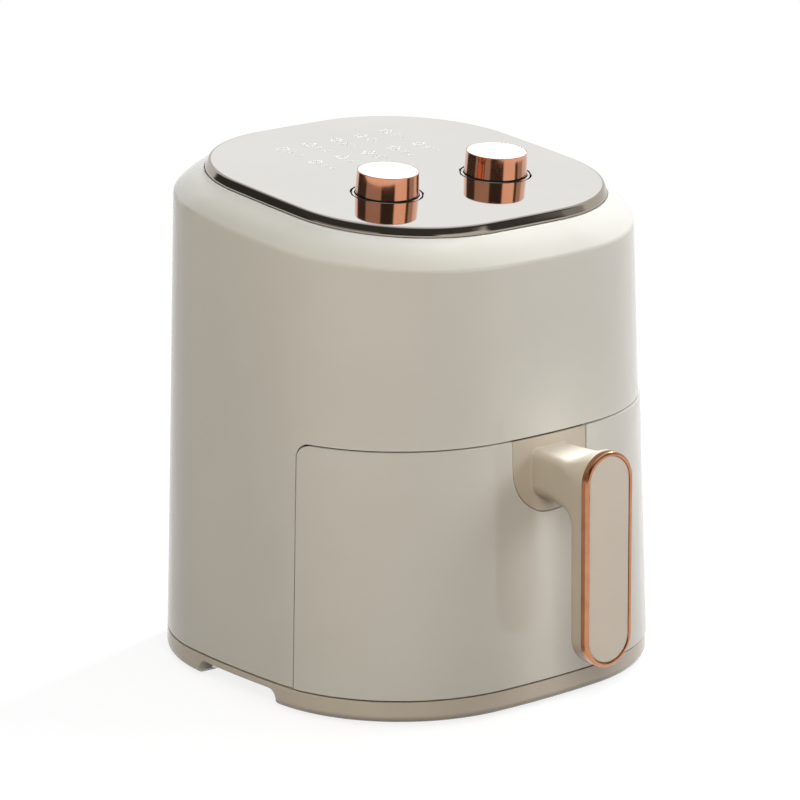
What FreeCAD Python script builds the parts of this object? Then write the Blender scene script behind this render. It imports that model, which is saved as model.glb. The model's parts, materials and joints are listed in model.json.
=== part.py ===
"""Air fryer with a pull-out pan, two dial controls and a hot-air fan, as an assembly of separate pieces.

Millimetres. +Z is up, the drawer opens towards -Y and +X is to the right for someone facing the front.
The floor is z = 0. The body's upright axis stands at y = handle_reach / 2, so the origin is the centre of
the whole footprint, handle included. Every piece is drawn about the body's axis and its Placement carries
it there. The mirror panel and the controls are drawn in the panel's own tilted frame: its origin is where
the panel's top meets the body's axis, its Z is the panel's normal.
"""
import FreeCAD
import Part
import Sketcher
import math
import os

Vector = FreeCAD.Vector
X_AXIS = Vector(1, 0, 0)
Y_AXIS = Vector(0, 1, 0)
Z_AXIS = Vector(0, 0, 1)

# Name, value and what it measures: a number drives the model, a text is worked out from the sizes above it.
# Lengths in millimetres, angles in degrees.
DIMENSIONS = [
    ("body_width", 260.0, "body width at the base seam"),
    ("body_depth", 266.8, "body depth at the base seam, without the handle"),
    ("corner_radius", 97.9, "plan radius of the body's corners"),
    ("side_bow", 1.15, "swell of each side past its corner arcs"),
    ("side_draft", 1.53, "lean of the left and right walls"),
    ("front_draft", 1.18, "lean of the front and rear walls"),
    ("seam_height", 16.6, "lower edge of the shell and the drawer front"),
    ("seam_gap", 0.6, "gap of the base and drawer seams"),
    ("shoulder_round", 8.0, "fillet between wall and shoulder"),
    ("shell_wall", 2.5, "wall of the shell"),
    ("panel_height", 295.6, "top of the panel on the body's axis"),
    ("shoulder_drop", 20.2, "edge of the side walls below the panel's top, on the axis"),
    ("shoulder_height", "=panel_height - shoulder_drop", "top of the side walls on the body's axis"),
    ("deck_drop", 129.6, "heater deck below the panel's top"),
    ("deck_height", "=panel_height - deck_drop", "underside of the heater deck"),
    ("panel_tilt", 5.0, "slope of the panel down to the front"),
    ("panel_side", 25.1, "body's side at the seam to the panel's edge"),
    ("panel_width", "=body_width - 2 * panel_side", "panel width at its lower edge"),
    ("panel_end", 23.5, "body's front at the seam to the panel's edge"),
    ("panel_depth", "=body_depth - 2 * panel_end", "panel depth at its lower edge"),
    ("panel_tuck", 18.1, "panel's corner radius under the body's"),
    ("panel_corner", "=corner_radius - panel_tuck", "plan radius of the panel's corners"),
    ("panel_forward", 2.9, "panel centre in front of the body's axis"),
    ("panel_thickness", 5.5, "thickness of the mirror panel"),
    ("panel_edge", 1.3, "upright part of the panel's edge"),
    ("panel_bevel", 2.2, "width of the panel's bevel"),
    ("panel_ledge", 0.6, "shell showing around the panel before the shoulder"),
    ("base_lift", 2.3, "lower edge of the base skirt above the floor"),
    ("base_round", 4.0, "rounding of the skirt's lower edge"),
    ("base_wall", 3.0, "wall of the base skirt"),
    ("floor_height", 13.0, "upper face of the base floor"),
    ("floor_gauge", 2.5, "thickness of the base floor"),
    ("arch_length", 74.0, "length of each side arch"),
    ("arch_forward", 1.0, "centre of the arches in front of the axis"),
    ("arch_round", 7.0, "corner radius of the arches"),
    ("foot_side", 48.0, "feet inside the body's sides"),
    ("foot_spread_x", "=body_width / 2 - foot_side", "feet from the middle, sideways"),
    ("foot_end", 49.4, "feet inside the body's front and back"),
    ("foot_spread_y", "=body_depth / 2 - foot_end", "feet from the middle, front to back"),
    ("foot_radius", 9.0, "radius of a rubber foot"),
    ("foot_height", 2.0, "height of a rubber foot"),
    ("drawer_under", 4.0, "drawer front below the heater deck"),
    ("drawer_top", "=deck_height - drawer_under", "upper edge of the drawer front"),
    ("drawer_wrap", 79.9, "drawer front's reach back from the body's front"),
    ("drawer_rear", "=body_depth / 2 - drawer_wrap", "rear edge of the drawer front, in front of the axis"),
    ("drawer_corner", 8.5, "radius of its upper rear corners"),
    ("drawer_proud", 1.0, "drawer front outside the shell's surface"),
    ("drawer_wall", 3.0, "wall of the drawer front"),
    ("drawer_seam", 0.9, "gap between drawer front and shell"),
    ("frame_gauge", 2.0, "thickness of the front frame"),
    ("frame_clear", 0.3, "front frame inside the shell"),
    ("liner_side", 17.0, "cavity liner inside the body's sides"),
    ("liner_width", "=body_width - 2 * liner_side", "outside width of the cavity liner"),
    ("liner_back", 20.4, "cavity liner inside the body's back"),
    ("liner_rear", "=body_depth / 2 - liner_back", "rear face of the cavity liner"),
    ("liner_tuck", 22.9, "liner's corner radius under the body's"),
    ("liner_corner", "=corner_radius - liner_tuck", "outside corner radius of the cavity liner"),
    ("liner_gauge", 1.2, "sheet of the cavity liner"),
    ("deck_gauge", 1.2, "sheet of the heater deck"),
    ("deck_side", 13.0, "heater deck inside the body's sides"),
    ("deck_width", "=body_width - 2 * deck_side", "width of the heater deck"),
    ("deck_end", 12.4, "heater deck inside the body's front and back"),
    ("deck_depth", "=body_depth - 2 * deck_end", "depth of the heater deck"),
    ("deck_tuck", 11.9, "deck's corner radius under the body's"),
    ("deck_corner", "=corner_radius - deck_tuck", "corner radius of the heater deck"),
    ("pan_side", 26.0, "pan inside the body's sides"),
    ("pan_width", "=body_width - 2 * pan_side", "outside width of the pan"),
    ("pan_ahead", 27.4, "pan inside the body's front"),
    ("pan_front", "=body_depth / 2 - pan_ahead", "front face of the pan"),
    ("pan_behind", 29.4, "pan inside the body's back"),
    ("pan_rear", "=body_depth / 2 - pan_behind", "rear face of the pan"),
    ("pan_tuck", 27.9, "pan's corner radius under the body's"),
    ("pan_corner", "=corner_radius - pan_tuck", "outside corner radius of the pan"),
    ("pan_bottom", 28.0, "underside of the pan"),
    ("pan_under", 16.0, "pan's rim below the heater deck"),
    ("pan_top", "=deck_height - pan_under", "rim of the pan"),
    ("pan_wall", 1.2, "sheet of the pan"),
    ("pan_round", 6.0, "rounding of the pan's lower edge"),
    ("rim_width", 4.0, "outward rim of the pan"),
    ("rim_gauge", 2.0, "thickness of the pan's rim"),
    ("rail_inset", 44.0, "rails inside the pan's sides"),
    ("rail_spread", "=pan_width / 2 - rail_inset", "rails from the middle"),
    ("rail_width", 8.0, "width of a drawer rail"),
    ("rail_ahead", 6.0, "rails in front of the pan"),
    ("rail_front", "=pan_front + rail_ahead", "front end of the rails, in front of the axis"),
    ("rail_short", 18.0, "rails end before the pan's back"),
    ("rail_rear", "=pan_rear - rail_short", "rear end of the rails, behind the axis"),
    ("rail_clear", 0.3, "pan's underside above the rails"),
    ("backing_side", 29.0, "drawer backing inside the pan's sides"),
    ("backing_width", "=pan_width - 2 * backing_side", "width of the drawer backing"),
    ("backing_rise", 4.0, "drawer backing above the pan's underside"),
    ("backing_bottom", "=pan_bottom + backing_rise", "lower edge of the drawer backing"),
    ("backing_over", 6.0, "drawer backing above the pan's rim"),
    ("backing_top", "=pan_top + backing_over", "upper edge of the drawer backing"),
    ("backing_gauge", 3.0, "thickness of the drawer backing"),
    ("backing_corner", 12.0, "corner radius of the drawer backing"),
    ("post_radius", 4.5, "radius of the drawer front's posts"),
    ("post_inset", 23.0, "posts inside the backing's sides"),
    ("post_spread", "=backing_width / 2 - post_inset", "posts from the middle"),
    ("post_rise", 10.0, "lower posts above the backing's lower edge"),
    ("post_low", "=backing_bottom + post_rise", "height of the lower posts"),
    ("post_drop", 18.0, "upper posts below the backing's upper edge"),
    ("post_high", "=backing_top - post_drop", "height of the upper posts"),
    ("bracket_margin", 4.0, "pan bracket inside the pan's flat front"),
    ("bracket_width", "=pan_width - 2 * pan_corner - 2 * bracket_margin", "width of the pan bracket"),
    ("bracket_drop", 32.0, "pan bracket below the pan's rim"),
    ("bracket_tall", 30.0, "height of the pan bracket"),
    ("bracket_high", "=pan_top - bracket_drop", "upper edge of the pan bracket"),
    ("bracket_low", "=bracket_high - bracket_tall", "lower edge of the pan bracket"),
    ("handle_reach", 48.6, "handle's face in front of the body"),
    ("grip_width", 35.0, "width of the grip"),
    ("grip_top", "=drawer_top", "upper end of the grip"),
    ("grip_bottom", 35.0, "lower end of the grip"),
    ("grip_depth", 12.5, "grip behind the trim ring"),
    ("grip_round", 6.0, "rounding of the grip's back edges"),
    ("arm_drop", 5.5, "handle's arm below the drawer front's upper edge"),
    ("arm_top", "=drawer_top - arm_drop", "top of the handle's arm at its root"),
    ("arm_tall", 35.5, "height of the handle's arm at its root"),
    ("arm_bottom", "=arm_top - arm_tall", "underside of the handle's arm"),
    ("arm_fillet", 11.0, "inner curve between arm and grip"),
    ("root_width", 55.0, "width of the handle's root plate"),
    ("root_tall", 45.0, "root plate's foot below the drawer front's upper edge"),
    ("root_bottom", "=drawer_top - root_tall", "lowest point of the root plate"),
    ("root_gap", 0.4, "gap around the root plate"),
    ("root_top_gap", 1.0, "gap above the root plate"),
    ("root_inset", 1.8, "depth of the root plate's seat"),
    ("root_sink", 0.3, "root plate below the drawer front's surface"),
    ("trim_depth", 4.5, "depth of the handle's trim ring"),
    ("trim_border", 2.4, "width of the handle's trim ring"),
    ("face_sink", 0.5, "handle's face plate behind the ring's front"),
    ("face_gap", 0.1, "gap between face plate and ring"),
    ("tray_gap", 4.0, "tray skirt to pan wall"),
    ("tray_height", 16.0, "tray's upper face above the pan's floor"),
    ("tray_gauge", 1.5, "sheet of the tray"),
    ("tray_clear", 0.3, "tray skirt above the pan's floor"),
    ("tray_hole", 4.0, "radius of the tray's holes"),
    ("tray_pitch", 20.0, "spacing of the tray's holes"),
    ("bumper_length", 16.0, "length of a tray bumper"),
    ("bumper_height", 8.0, "height of a tray bumper"),
    ("bumper_clear", 0.4, "tray bumper to pan wall"),
    ("knob_spacing", 82.0, "between the two knob axes"),
    ("knob_forward", 35.3, "knob axes in front of the body's axis, along the panel"),
    ("knob_radius", 18.5, "radius of a knob"),
    ("knob_height", 13.7, "top of a knob above the panel"),
    ("knob_draft", 0.5, "how much narrower a knob is at its top"),
    ("knob_wall", 2.0, "wall of a knob"),
    ("knob_well", 2.6, "gap between a knob and its hole in the panel"),
    ("knob_lift", 0.5, "knob above the deck of the shell"),
    ("cap_radius", 17.0, "radius of a knob's cap"),
    ("cap_gauge", 2.0, "thickness of a knob's cap"),
    ("hub_radius", 6.5, "radius of a knob's hub"),
    ("spindle_radius", 3.0, "radius of the control spindles"),
    ("running_fit", 0.05, "radial running clearance of spindles and shaft"),
    ("spindle_entry", 9.0, "spindle inside its control"),
    ("neck_radius", 4.5, "radius of a control's neck"),
    ("neck_gap", 0.4, "gap around a control's neck"),
    ("control_gauge", 1.2, "sheet of the control bracket"),
    ("control_end", 39.0, "control bracket past each knob axis"),
    ("control_width", "=knob_spacing + 2 * control_end", "width of the control bracket"),
    ("control_depth", 50.0, "depth of the control bracket"),
    ("case_size", 42.0, "side of a control's case"),
    ("timer_height", 26.0, "height of the timer's case"),
    ("thermostat_height", 18.0, "height of the thermostat's case"),
    ("bell_radius", 15.0, "radius of the timer's bell"),
    ("bell_height", 6.0, "height of the timer's bell"),
    ("bowl_side", 42.0, "heater bowl's mouth inside the body's sides"),
    ("bowl_back", 25.0, "heater bowl's mouth inside the liner's back"),
    ("bowl_mouth", "=min(body_width / 2 - bowl_side; liner_rear - bowl_back)", "inner radius of its mouth"),
    ("bowl_lean", 8.0, "bowl's crown under its mouth's radius"),
    ("bowl_crown", "=bowl_mouth - bowl_lean", "inner radius of the heater bowl's crown"),
    ("bowl_height", 38.0, "height of the heater bowl"),
    ("bowl_gauge", 1.0, "sheet of the heater bowl"),
    ("bowl_flange", 9.0, "flange of the heater bowl"),
    ("shaft_hole", 6.0, "radius of the shaft's hole in bowl and shield"),
    ("element_tube", 3.3, "radius of the heater's tube"),
    ("element_room", 30.0, "heater's inner turn inside the bowl's crown"),
    ("element_start", "=bowl_crown - element_room", "inner radius of the heater's turns"),
    ("element_pitch", 12.0, "spacing of the heater's turns"),
    ("element_bend", 10.0, "bend radius of the heater's cold ends"),
    ("element_drop", 26.0, "heater below the bowl's top"),
    ("element_tail", 5.0, "cold ends above the bowl's top"),
    ("element_gap", 0.3, "gap around the heater's cold ends"),
    ("guard_wire", 1.2, "radius of the guard's wire"),
    ("guard_step", 28.0, "spacing of the guard's rings"),
    ("guard_gap", 0.3, "guard inside the bowl's mouth"),
    ("shield_room", 40.0, "heat shield inside the bowl's crown"),
    ("shield_radius", "=bowl_crown - shield_room", "radius of the heat shield"),
    ("shield_gauge", 1.5, "thickness of the heat shield"),
    ("cutout_radius", 8.0, "radius of the thermal cut-out"),
    ("cutout_height", 7.0, "height of the thermal cut-out"),
    ("cutout_room", 18.0, "thermal cut-out inside the bowl's crown"),
    ("cutout_place", "=bowl_crown - cutout_room", "thermal cut-out from the axis"),
    ("shaft_radius", 3.0, "radius of the motor's shaft"),
    ("hot_fan_room", 8.0, "hot-air fan inside the heater's inner turn"),
    ("hot_fan_radius", "=element_start - hot_fan_room", "radius of the hot-air fan"),
    ("hot_fan_rise", 21.8, "hot-air fan above the heater deck"),
    ("hot_fan_bottom", "=deck_height + deck_gauge + hot_fan_rise", "lower face of the hot-air fan"),
    ("hot_fan_height", 12.0, "height of the hot-air fan"),
    ("cool_fan_room", 28.0, "cooling fan inside the bowl's crown"),
    ("cool_fan_radius", "=bowl_crown - cool_fan_room", "radius of the cooling fan"),
    ("cool_fan_rise", 6.8, "cooling fan above the bowl"),
    ("cool_fan_bottom", "=deck_height + deck_gauge + bowl_height + cool_fan_rise", "cooling fan's foot"),
    ("cool_fan_height", 12.0, "height of the cooling fan"),
    ("fan_hub", 8.0, "radius of the fans' hubs"),
    ("fan_plate", 1.2, "sheet of the fans"),
    ("nut_radius", 5.5, "corner radius of the fan's nut"),
    ("nut_height", 4.0, "height of the fan's nut"),
    ("strap_width", 50.0, "width of the motor's strap"),
    ("strap_gauge", 1.5, "sheet of the motor's strap"),
    ("strap_side", 22.0, "strap's legs inside the body's sides"),
    ("strap_span", "=body_width - 2 * strap_side", "outside span of the strap's legs"),
    ("strap_foot", 9.0, "strap's feet outside its legs"),
    ("strap_over", 5.5, "strap above the cooling fan"),
    ("strap_top", "=cool_fan_bottom + cool_fan_height + strap_over", "upper face of the strap"),
    ("motor_radius", 30.0, "radius of the motor"),
    ("motor_height", 20.0, "height of the motor"),
    ("shaft_drop", 6.0, "motor's shaft below the hot-air fan"),
    ("shaft_bottom", "=hot_fan_bottom - shaft_drop", "lower end of the motor's shaft"),
    ("shaft_over", 1.5, "motor's shaft above the motor"),
    ("shaft_top", "=strap_top + motor_height + shaft_over", "upper end of the motor's shaft"),
    ("duct_width", 80.0, "width of the exhaust duct"),
    ("duct_ahead", 14.0, "exhaust duct in front of the liner's back"),
    ("duct_front", "=liner_rear - duct_ahead", "front face of the exhaust duct"),
    ("duct_height", 62.0, "height of the exhaust duct"),
    ("duct_wall", 1.5, "wall of the exhaust duct"),
    ("vent_width", 90.0, "width of the rear vent"),
    ("vent_rise", 12.8, "rear vent above the heater deck"),
    ("vent_low", "=deck_height + deck_gauge + vent_rise", "lower edge of the rear vent"),
    ("vent_tall", 52.0, "height of the rear vent"),
    ("vent_high", "=vent_low + vent_tall", "upper edge of the rear vent"),
    ("vent_gap", 0.2, "gap around the rear vent"),
    ("vent_slots", 6, "louvre slots of the rear vent"),
    ("vent_slot", 4.0, "height of a louvre slot"),
    ("vent_margin", 7.0, "border around the louvre slots"),
    ("gland_height", 42.0, "cord gland above the floor"),
    ("gland_radius", 8.0, "radius of the cord gland's body"),
    ("gland_flange", 11.0, "radius of the cord gland's flange"),
    ("gland_bore", 3.6, "radius of the cord gland's bore"),
    ("gland_gap", 0.2, "gap around the cord gland"),
    ("gland_proud", 1.5, "cord gland's flange outside the shell"),
    ("switch_place", 38.0, "drawer switch right of the middle"),
    ("switch_drop", 32.0, "drawer switch below the pan's rim"),
    ("switch_height", "=pan_top - switch_drop", "drawer switch above the floor"),
    ("switch_size", 18.0, "side of the drawer switch"),
    ("switch_depth", 9.0, "depth of the drawer switch"),
    ("plunger_radius", 2.0, "radius of the switch's plunger"),
    ("plunger_clear", 0.4, "plunger's tip to the pan"),
    ("plunger_entry", 7.0, "plunger inside the switch"),
    ("terminal_length", 34.0, "length of the terminal block"),
    ("terminal_width", 16.0, "width of the terminal block"),
    ("terminal_height", 14.0, "height of the terminal block"),
    ("terminal_gap", 4.0, "terminal block's far side outside the bowl's flange"),
    ("terminal_inset", 38.0, "terminal block in front of the bowl's rear edge"),
    ("terminal_back", "=bowl_mouth - terminal_inset", "terminal block behind the axis"),
    ("screw_radius", 1.7, "radius of the screws"),
    ("screw_head", 3.6, "radius of the screws' heads"),
    ("screw_cap", 2.0, "height of the screws' heads"),
    ("head_clear", 0.6, "handle screws' heads off the curved wall"),
    ("screw_gap", 0.15, "gap around the screws"),
    ("boss_radius", 6.2, "radius of the shell's screw bosses"),
    ("boss_height", 44.0, "height of the shell's screw bosses"),
    ("boss_side", 26.0, "side bosses behind the axis"),
    ("boss_rear", 26.0, "rear bosses from the middle"),
    ("boss_inset", 5.2, "boss axis inside the shell's wall"),
]

doc = FreeCAD.newDocument("AirFryer")
sheet = doc.addObject("Spreadsheet::Sheet", "Sizes")
for row, (alias, number, note) in enumerate(DIMENSIONS, start=1):
    sheet.set(f"A{row}", note)
    sheet.set(f"B{row}", str(number))
    sheet.setAlias(f"B{row}", alias)
doc.recompute()


class Size:
    """A number worked out from the sheet: the formula's text together with its present value."""

    def __init__(self, text, value):
        self.text = text
        self.value = value

    def __float__(self):
        return float(self.value)

    def __add__(self, other):
        return Size(f"({self.text} + {sized(other).text})", self.value + float(other))

    def __radd__(self, other):
        return sized(other) + self

    def __sub__(self, other):
        return Size(f"({self.text} - {sized(other).text})", self.value - float(other))

    def __rsub__(self, other):
        return sized(other) - self

    def __mul__(self, other):
        return Size(f"({self.text} * {sized(other).text})", self.value * float(other))

    def __rmul__(self, other):
        return sized(other) * self

    def __truediv__(self, other):
        return Size(f"({self.text} / {sized(other).text})", self.value / float(other))

    def __neg__(self):
        return Size(f"(0 - {self.text})", -self.value)


def sized(number):
    """A Size as it is, or a plain number as a Size."""
    return number if isinstance(number, Size) else Size(repr(float(number)), float(number))


def sine(angle):
    return Size(f"sin({angle.text} * 1 deg)", math.sin(math.radians(float(angle))))


def cosine(angle):
    return Size(f"cos({angle.text} * 1 deg)", math.cos(math.radians(float(angle))))


def root(number):
    return Size(f"sqrt({number.text})", math.sqrt(float(number)))


def tangent(angle):
    return Size(f"tan({angle.text} * 1 deg)", math.tan(math.radians(float(angle))))


class Sheet:
    """Reads a cell of the sheet by its alias, as a Size."""

    def __getattr__(self, alias):
        return Size(f"Sizes.{alias}", float(sheet.get(alias)))


size = Sheet()

# Places that several pieces share.
axis_shift = size.handle_reach / 2
deck_under = -(size.panel_thickness + size.shell_wall)
bracket_under = deck_under - size.control_gauge
knob_back = -size.knob_forward
deck_top = size.deck_height + size.deck_gauge
bowl_top = deck_top + size.bowl_height
strap_under = size.strap_top - size.strap_gauge
frame_front = -(size.drawer_rear - size.drawer_seam)
frame_back = frame_front + size.frame_gauge
rim_under = size.pan_top - size.rim_gauge
rim_front = -(size.pan_front + size.rim_width)
backing_front = rim_front - size.backing_gauge
pan_floor = size.pan_bottom + size.pan_wall
grip_radius = size.grip_width / 2
grip_front = -(size.body_depth / 2 + size.handle_reach)
ring_back = grip_front + size.trim_depth
grip_back = ring_back + size.grip_depth
WIDE = size.body_width + size.body_depth


def half_width(height):
    """Half the body's width at a height."""
    return size.body_width / 2 - (height - size.seam_height) * tangent(size.side_draft)


def half_depth(height):
    """Half the body's depth at a height."""
    return size.body_depth / 2 - (height - size.seam_height) * tangent(size.front_draft)


def inner_half(height, forward):
    """Half the width inside the shell at a height, at a distance in front of the axis within a corner arc."""
    reach = size.corner_radius + size.side_bow
    radius = size.corner_radius - size.shell_wall
    beyond = forward - (half_depth(height) - reach)
    return half_width(height) - reach + root(radius * radius - beyond * beyond)


def inner_back(height, sideways):
    """Depth behind the axis inside the shell at a height, where a distance sideways meets a corner arc."""
    reach = size.corner_radius + size.side_bow
    radius = size.corner_radius - size.shell_wall
    beyond = sideways - (half_width(height) - reach)
    return half_depth(height) - reach + root(radius * radius - beyond * beyond)


# Building blocks.
nodes = []


def bind(thing, prop, number):
    """Sets a property, and ties it to the sheet if the number came from there."""
    if isinstance(number, Size):
        thing.setExpression(prop, number.text)
    else:
        setattr(thing, prop, number)


def place(thing, x=0.0, y=0.0, z=0.0, turn=None):
    """Puts a drawn piece at a place that is tied to the sheet, after an optional (axis, degrees) turn."""
    if turn:
        thing.Placement = FreeCAD.Placement(Vector(0, 0, 0), FreeCAD.Rotation(turn[0], float(turn[1])))
        if isinstance(turn[1], Size):
            thing.setExpression("Placement.Rotation.Angle", f"{turn[1].text} * 1 deg")
    for letter, number in (("x", x), ("y", y), ("z", z)):
        thing.setExpression(f"Placement.Base.{letter}", sized(number).text)
    return thing


def node(thing, name):
    """Names a finished piece and stands it on the body's axis."""
    thing.Label = name
    nodes.append(thing)
    return place(thing, y=axis_shift)


def panel_node(thing, name, x=0.0, y=0.0):
    """Names a finished piece that was drawn in the panel's tilted frame, at x and y on the panel."""
    thing.Label = name
    nodes.append(thing)
    level = size.panel_height + sized(y) * sine(size.panel_tilt)
    return place(thing, x, axis_shift + sized(y) * cosine(size.panel_tilt), level, (X_AXIS, size.panel_tilt))


def new_body(name):
    return doc.addObject("PartDesign::Body", name)


def sketch_on(body, name, role, offset=0.0):
    """A sketch on one of the body's own planes, moved along that plane's normal."""
    sketch = body.newObject("Sketcher::SketchObject", name)
    plane = next(feature for feature in body.Origin.OriginFeatures if feature.Role == role)
    sketch.AttachmentSupport = [(plane, "")]
    sketch.MapMode = "FlatFace"
    sketch.setExpression("AttachmentOffset.Base.z", sized(offset).text)
    return sketch


def dimension(sketch, kind, *where_and_number):
    """Adds a dimension whose value follows the sheet."""
    *where, number = where_and_number
    index = sketch.addConstraint(Sketcher.Constraint(kind, *where, float(number)))
    sketch.setExpression(f"Constraints[{index}]", sized(number).text)


def pin_point(sketch, geometry, point, x, y):
    """Holds a point of the sketch at x and y from the sketch's origin."""
    dimension(sketch, "DistanceX", -1, 1, geometry, point, x)
    dimension(sketch, "DistanceY", -1, 1, geometry, point, y)


def polygon(sketch, points):
    """Straight lines through the points and back to the first."""
    count = len(points)
    first = sketch.GeometryCount
    flat = [Vector(float(x), float(y), 0) for x, y in points]
    for index in range(count):
        sketch.addGeometry(Part.LineSegment(flat[index], flat[(index + 1) % count]))
    for index, (x, y) in enumerate(points):
        following = first + (index + 1) % count
        sketch.addConstraint(Sketcher.Constraint("Coincident", first + index, 2, following, 1))
        pin_point(sketch, first + index, 1, x, y)


def circle(sketch, x, y, radius):
    ring = Part.Circle(Vector(float(x), float(y), 0), Z_AXIS, float(radius))
    index = sketch.addGeometry(ring)
    pin_point(sketch, index, 3, x, y)
    dimension(sketch, "Radius", index, radius)


def rounded_loop(sketch, centres, radius):
    """Arcs of one radius about the centres, counterclockwise, joined by tangent lines."""
    count = len(centres)
    first = sketch.GeometryCount
    middle = [Vector(float(x), float(y), 0) for x, y in centres]
    outward = []
    for index in range(count):
        along = middle[(index + 1) % count] - middle[index]
        outward.append(Vector(along.y, -along.x, 0).normalize() * float(radius))
    for index in range(count):
        start = math.atan2(outward[index - 1].y, outward[index - 1].x)
        end = math.atan2(outward[index].y, outward[index].x)
        arc = Part.ArcOfCircle(Part.Circle(middle[index], Z_AXIS, float(radius)), start, end)
        sketch.addGeometry(arc)
        line_end = middle[(index + 1) % count] + outward[index]
        sketch.addGeometry(Part.LineSegment(middle[index] + outward[index], line_end))
    for index, (x, y) in enumerate(centres):
        arc = first + 2 * index
        following = first + 2 * ((index + 1) % count)
        sketch.addConstraint(Sketcher.Constraint("Tangent", arc, 2, arc + 1, 1))
        sketch.addConstraint(Sketcher.Constraint("Tangent", arc + 1, 2, following, 1))
        pin_point(sketch, arc, 3, x, y)
        dimension(sketch, "Radius", arc, radius)


def rounded_rectangle(sketch, left, right, low, high, radius):
    rounded_loop(sketch, [
        (left + radius, low + radius),
        (right - radius, low + radius),
        (right - radius, high - radius),
        (left + radius, high - radius),
    ], radius)


def rectangle(sketch, left, right, low, high):
    polygon(sketch, [(left, low), (right, low), (right, high), (left, high)])


def stadium(sketch, low, high, radius):
    """An upright rounded slot about the sketch's vertical axis."""
    rounded_loop(sketch, [(sized(0), low + radius), (sized(0), high - radius)], radius)


def pad(body, sketch, length, both_ways=False):
    feature = body.newObject("PartDesign::Pad", sketch.Name + "Pad")
    feature.Profile = sketch
    bind(feature, "Length", length)
    feature.Midplane = both_ways
    return feature


def pocket(body, sketch, depth=None, both_ways=False, reverse=False):
    """Cuts the sketch away, through everything if no depth is given, and checks that it cut."""
    doc.recompute()
    before = body.Shape.Volume
    feature = body.newObject("PartDesign::Pocket", sketch.Name + "Pocket")
    feature.Profile = sketch
    if depth is None:
        feature.Type = "ThroughAll"
    else:
        bind(feature, "Length", depth)
    feature.Midplane = both_ways
    feature.Reversed = reverse
    doc.recompute()
    if not body.Shape.Volume < before:
        raise RuntimeError(f"{feature.Name} cuts nothing")
    return feature


def revolve(body, sketch):
    feature = body.newObject("PartDesign::Revolution", sketch.Name + "Turn")
    feature.Profile = sketch
    feature.ReferenceAxis = (sketch, ["V_Axis"])
    feature.Angle = 360
    return feature


def turned(name, points):
    """A body turned about Z from (radius, height) points."""
    body = new_body(name)
    sketch = sketch_on(body, name + "_profile", "XZ_Plane")
    polygon(sketch, points)
    revolve(body, sketch)
    return body


def round_edges(body, base, test, radius):
    """Fillets the edges of a feature that pass a test."""
    doc.recompute()
    names = [f"Edge{index}" for index, edge in enumerate(base.Shape.Edges, start=1) if test(edge)]
    feature = body.newObject("PartDesign::Fillet", base.Name + "Round")
    feature.Base = (base, names)
    bind(feature, "Radius", radius)
    return feature


def lies_at(edge, height):
    """Whether an edge is level and at a height."""
    return max(abs(edge.BoundBox.ZMin - float(height)), abs(edge.BoundBox.ZMax - float(height))) < 0.01


def box(name, corner, extent):
    block = doc.addObject("Part::Box", name)
    for prop, number in zip(("Length", "Width", "Height"), extent):
        bind(block, prop, number)
    return place(block, *corner)


TURNS = {
    "Z": None,
    "-Z": (X_AXIS, 180),
    "Y": (X_AXIS, -90),
    "-Y": (X_AXIS, 90),
}


def cylinder(name, radius, length, start, along="Z"):
    """A rod that runs from its start along an axis."""
    rod = doc.addObject("Part::Cylinder", name)
    bind(rod, "Radius", radius)
    bind(rod, "Height", length)
    return place(rod, *start, TURNS[along])


def cut(name, base, tool):
    feature = doc.addObject("Part::Cut", name)
    feature.Base = base
    feature.Tool = tool
    return feature


def fuse(name, shapes):
    feature = doc.addObject("Part::MultiFuse", name)
    feature.Shapes = shapes
    return feature


def group(name, things):
    feature = doc.addObject("Part::Compound", name)
    feature.Links = things
    return feature


def screw(name, seat, length, along):
    """A round-headed screw: its head stands on the seat and its shank runs along the axis."""
    opposite = {"Z": "-Z", "-Z": "Z", "Y": "-Y", "-Y": "Y"}[along]
    head = cylinder(name + "_head", size.screw_head, size.screw_cap, seat, opposite)
    shank = cylinder(name + "_shank", size.screw_radius, length, seat, along)
    return fuse(name, [head, shank])


def screws(name, seats, length, along):
    pieces = [screw(f"{name}_{index}", seat, length, along) for index, seat in enumerate(seats, start=1)]
    return group(name, pieces)


def moulding(name, shape):
    """A piece whose drafted, bowed surfaces are made directly from the sheet's values."""
    feature = doc.addObject("Part::Feature", name)
    feature.Shape = shape
    return node(feature, name)


# The body's form: outlines of eight tangent arcs, joined by ruled walls.
def outline(half_x, half_y, radius, bow, where):
    """Closed outline of four corner arcs and four slightly bowed sides, in a placed plane."""
    reach = radius + bow
    corner_x, corner_y = half_x - reach, half_y - reach
    side_x = (reach ** 2 + corner_y ** 2 - radius ** 2) / (2 * bow)
    side_y = (reach ** 2 + corner_x ** 2 - radius ** 2) / (2 * bow)
    first = math.atan2(corner_y, corner_x - (half_x - side_x))
    second = math.atan2(corner_y - (half_y - side_y), corner_x)
    side, end, turn = half_x - side_x, half_y - side_y, math.pi
    arcs = [
        (side, 0, side_x, -first, first),
        (corner_x, corner_y, radius, first, second),
        (0, end, side_y, second, turn - second),
        (-corner_x, corner_y, radius, turn - second, turn - first),
        (-side, 0, side_x, turn - first, turn + first),
        (-corner_x, -corner_y, radius, turn + first, turn + second),
        (0, -end, side_y, turn + second, 2 * turn - second),
        (corner_x, -corner_y, radius, 2 * turn - second, 2 * turn - first),
    ]
    edges = []
    for centre_x, centre_y, arc_radius, start, stop in arcs:
        centre = Vector(centre_x, centre_y, 0)
        spots = [
            where.multVec(centre + Vector(math.cos(angle), math.sin(angle), 0) * arc_radius)
            for angle in (start, (start + stop) / 2, stop)
        ]
        edges.append(Part.Arc(*spots).toShape())
    return Part.Wire(edges)


def level(height):
    return FreeCAD.Placement(Vector(0, 0, height), FreeCAD.Rotation())


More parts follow.
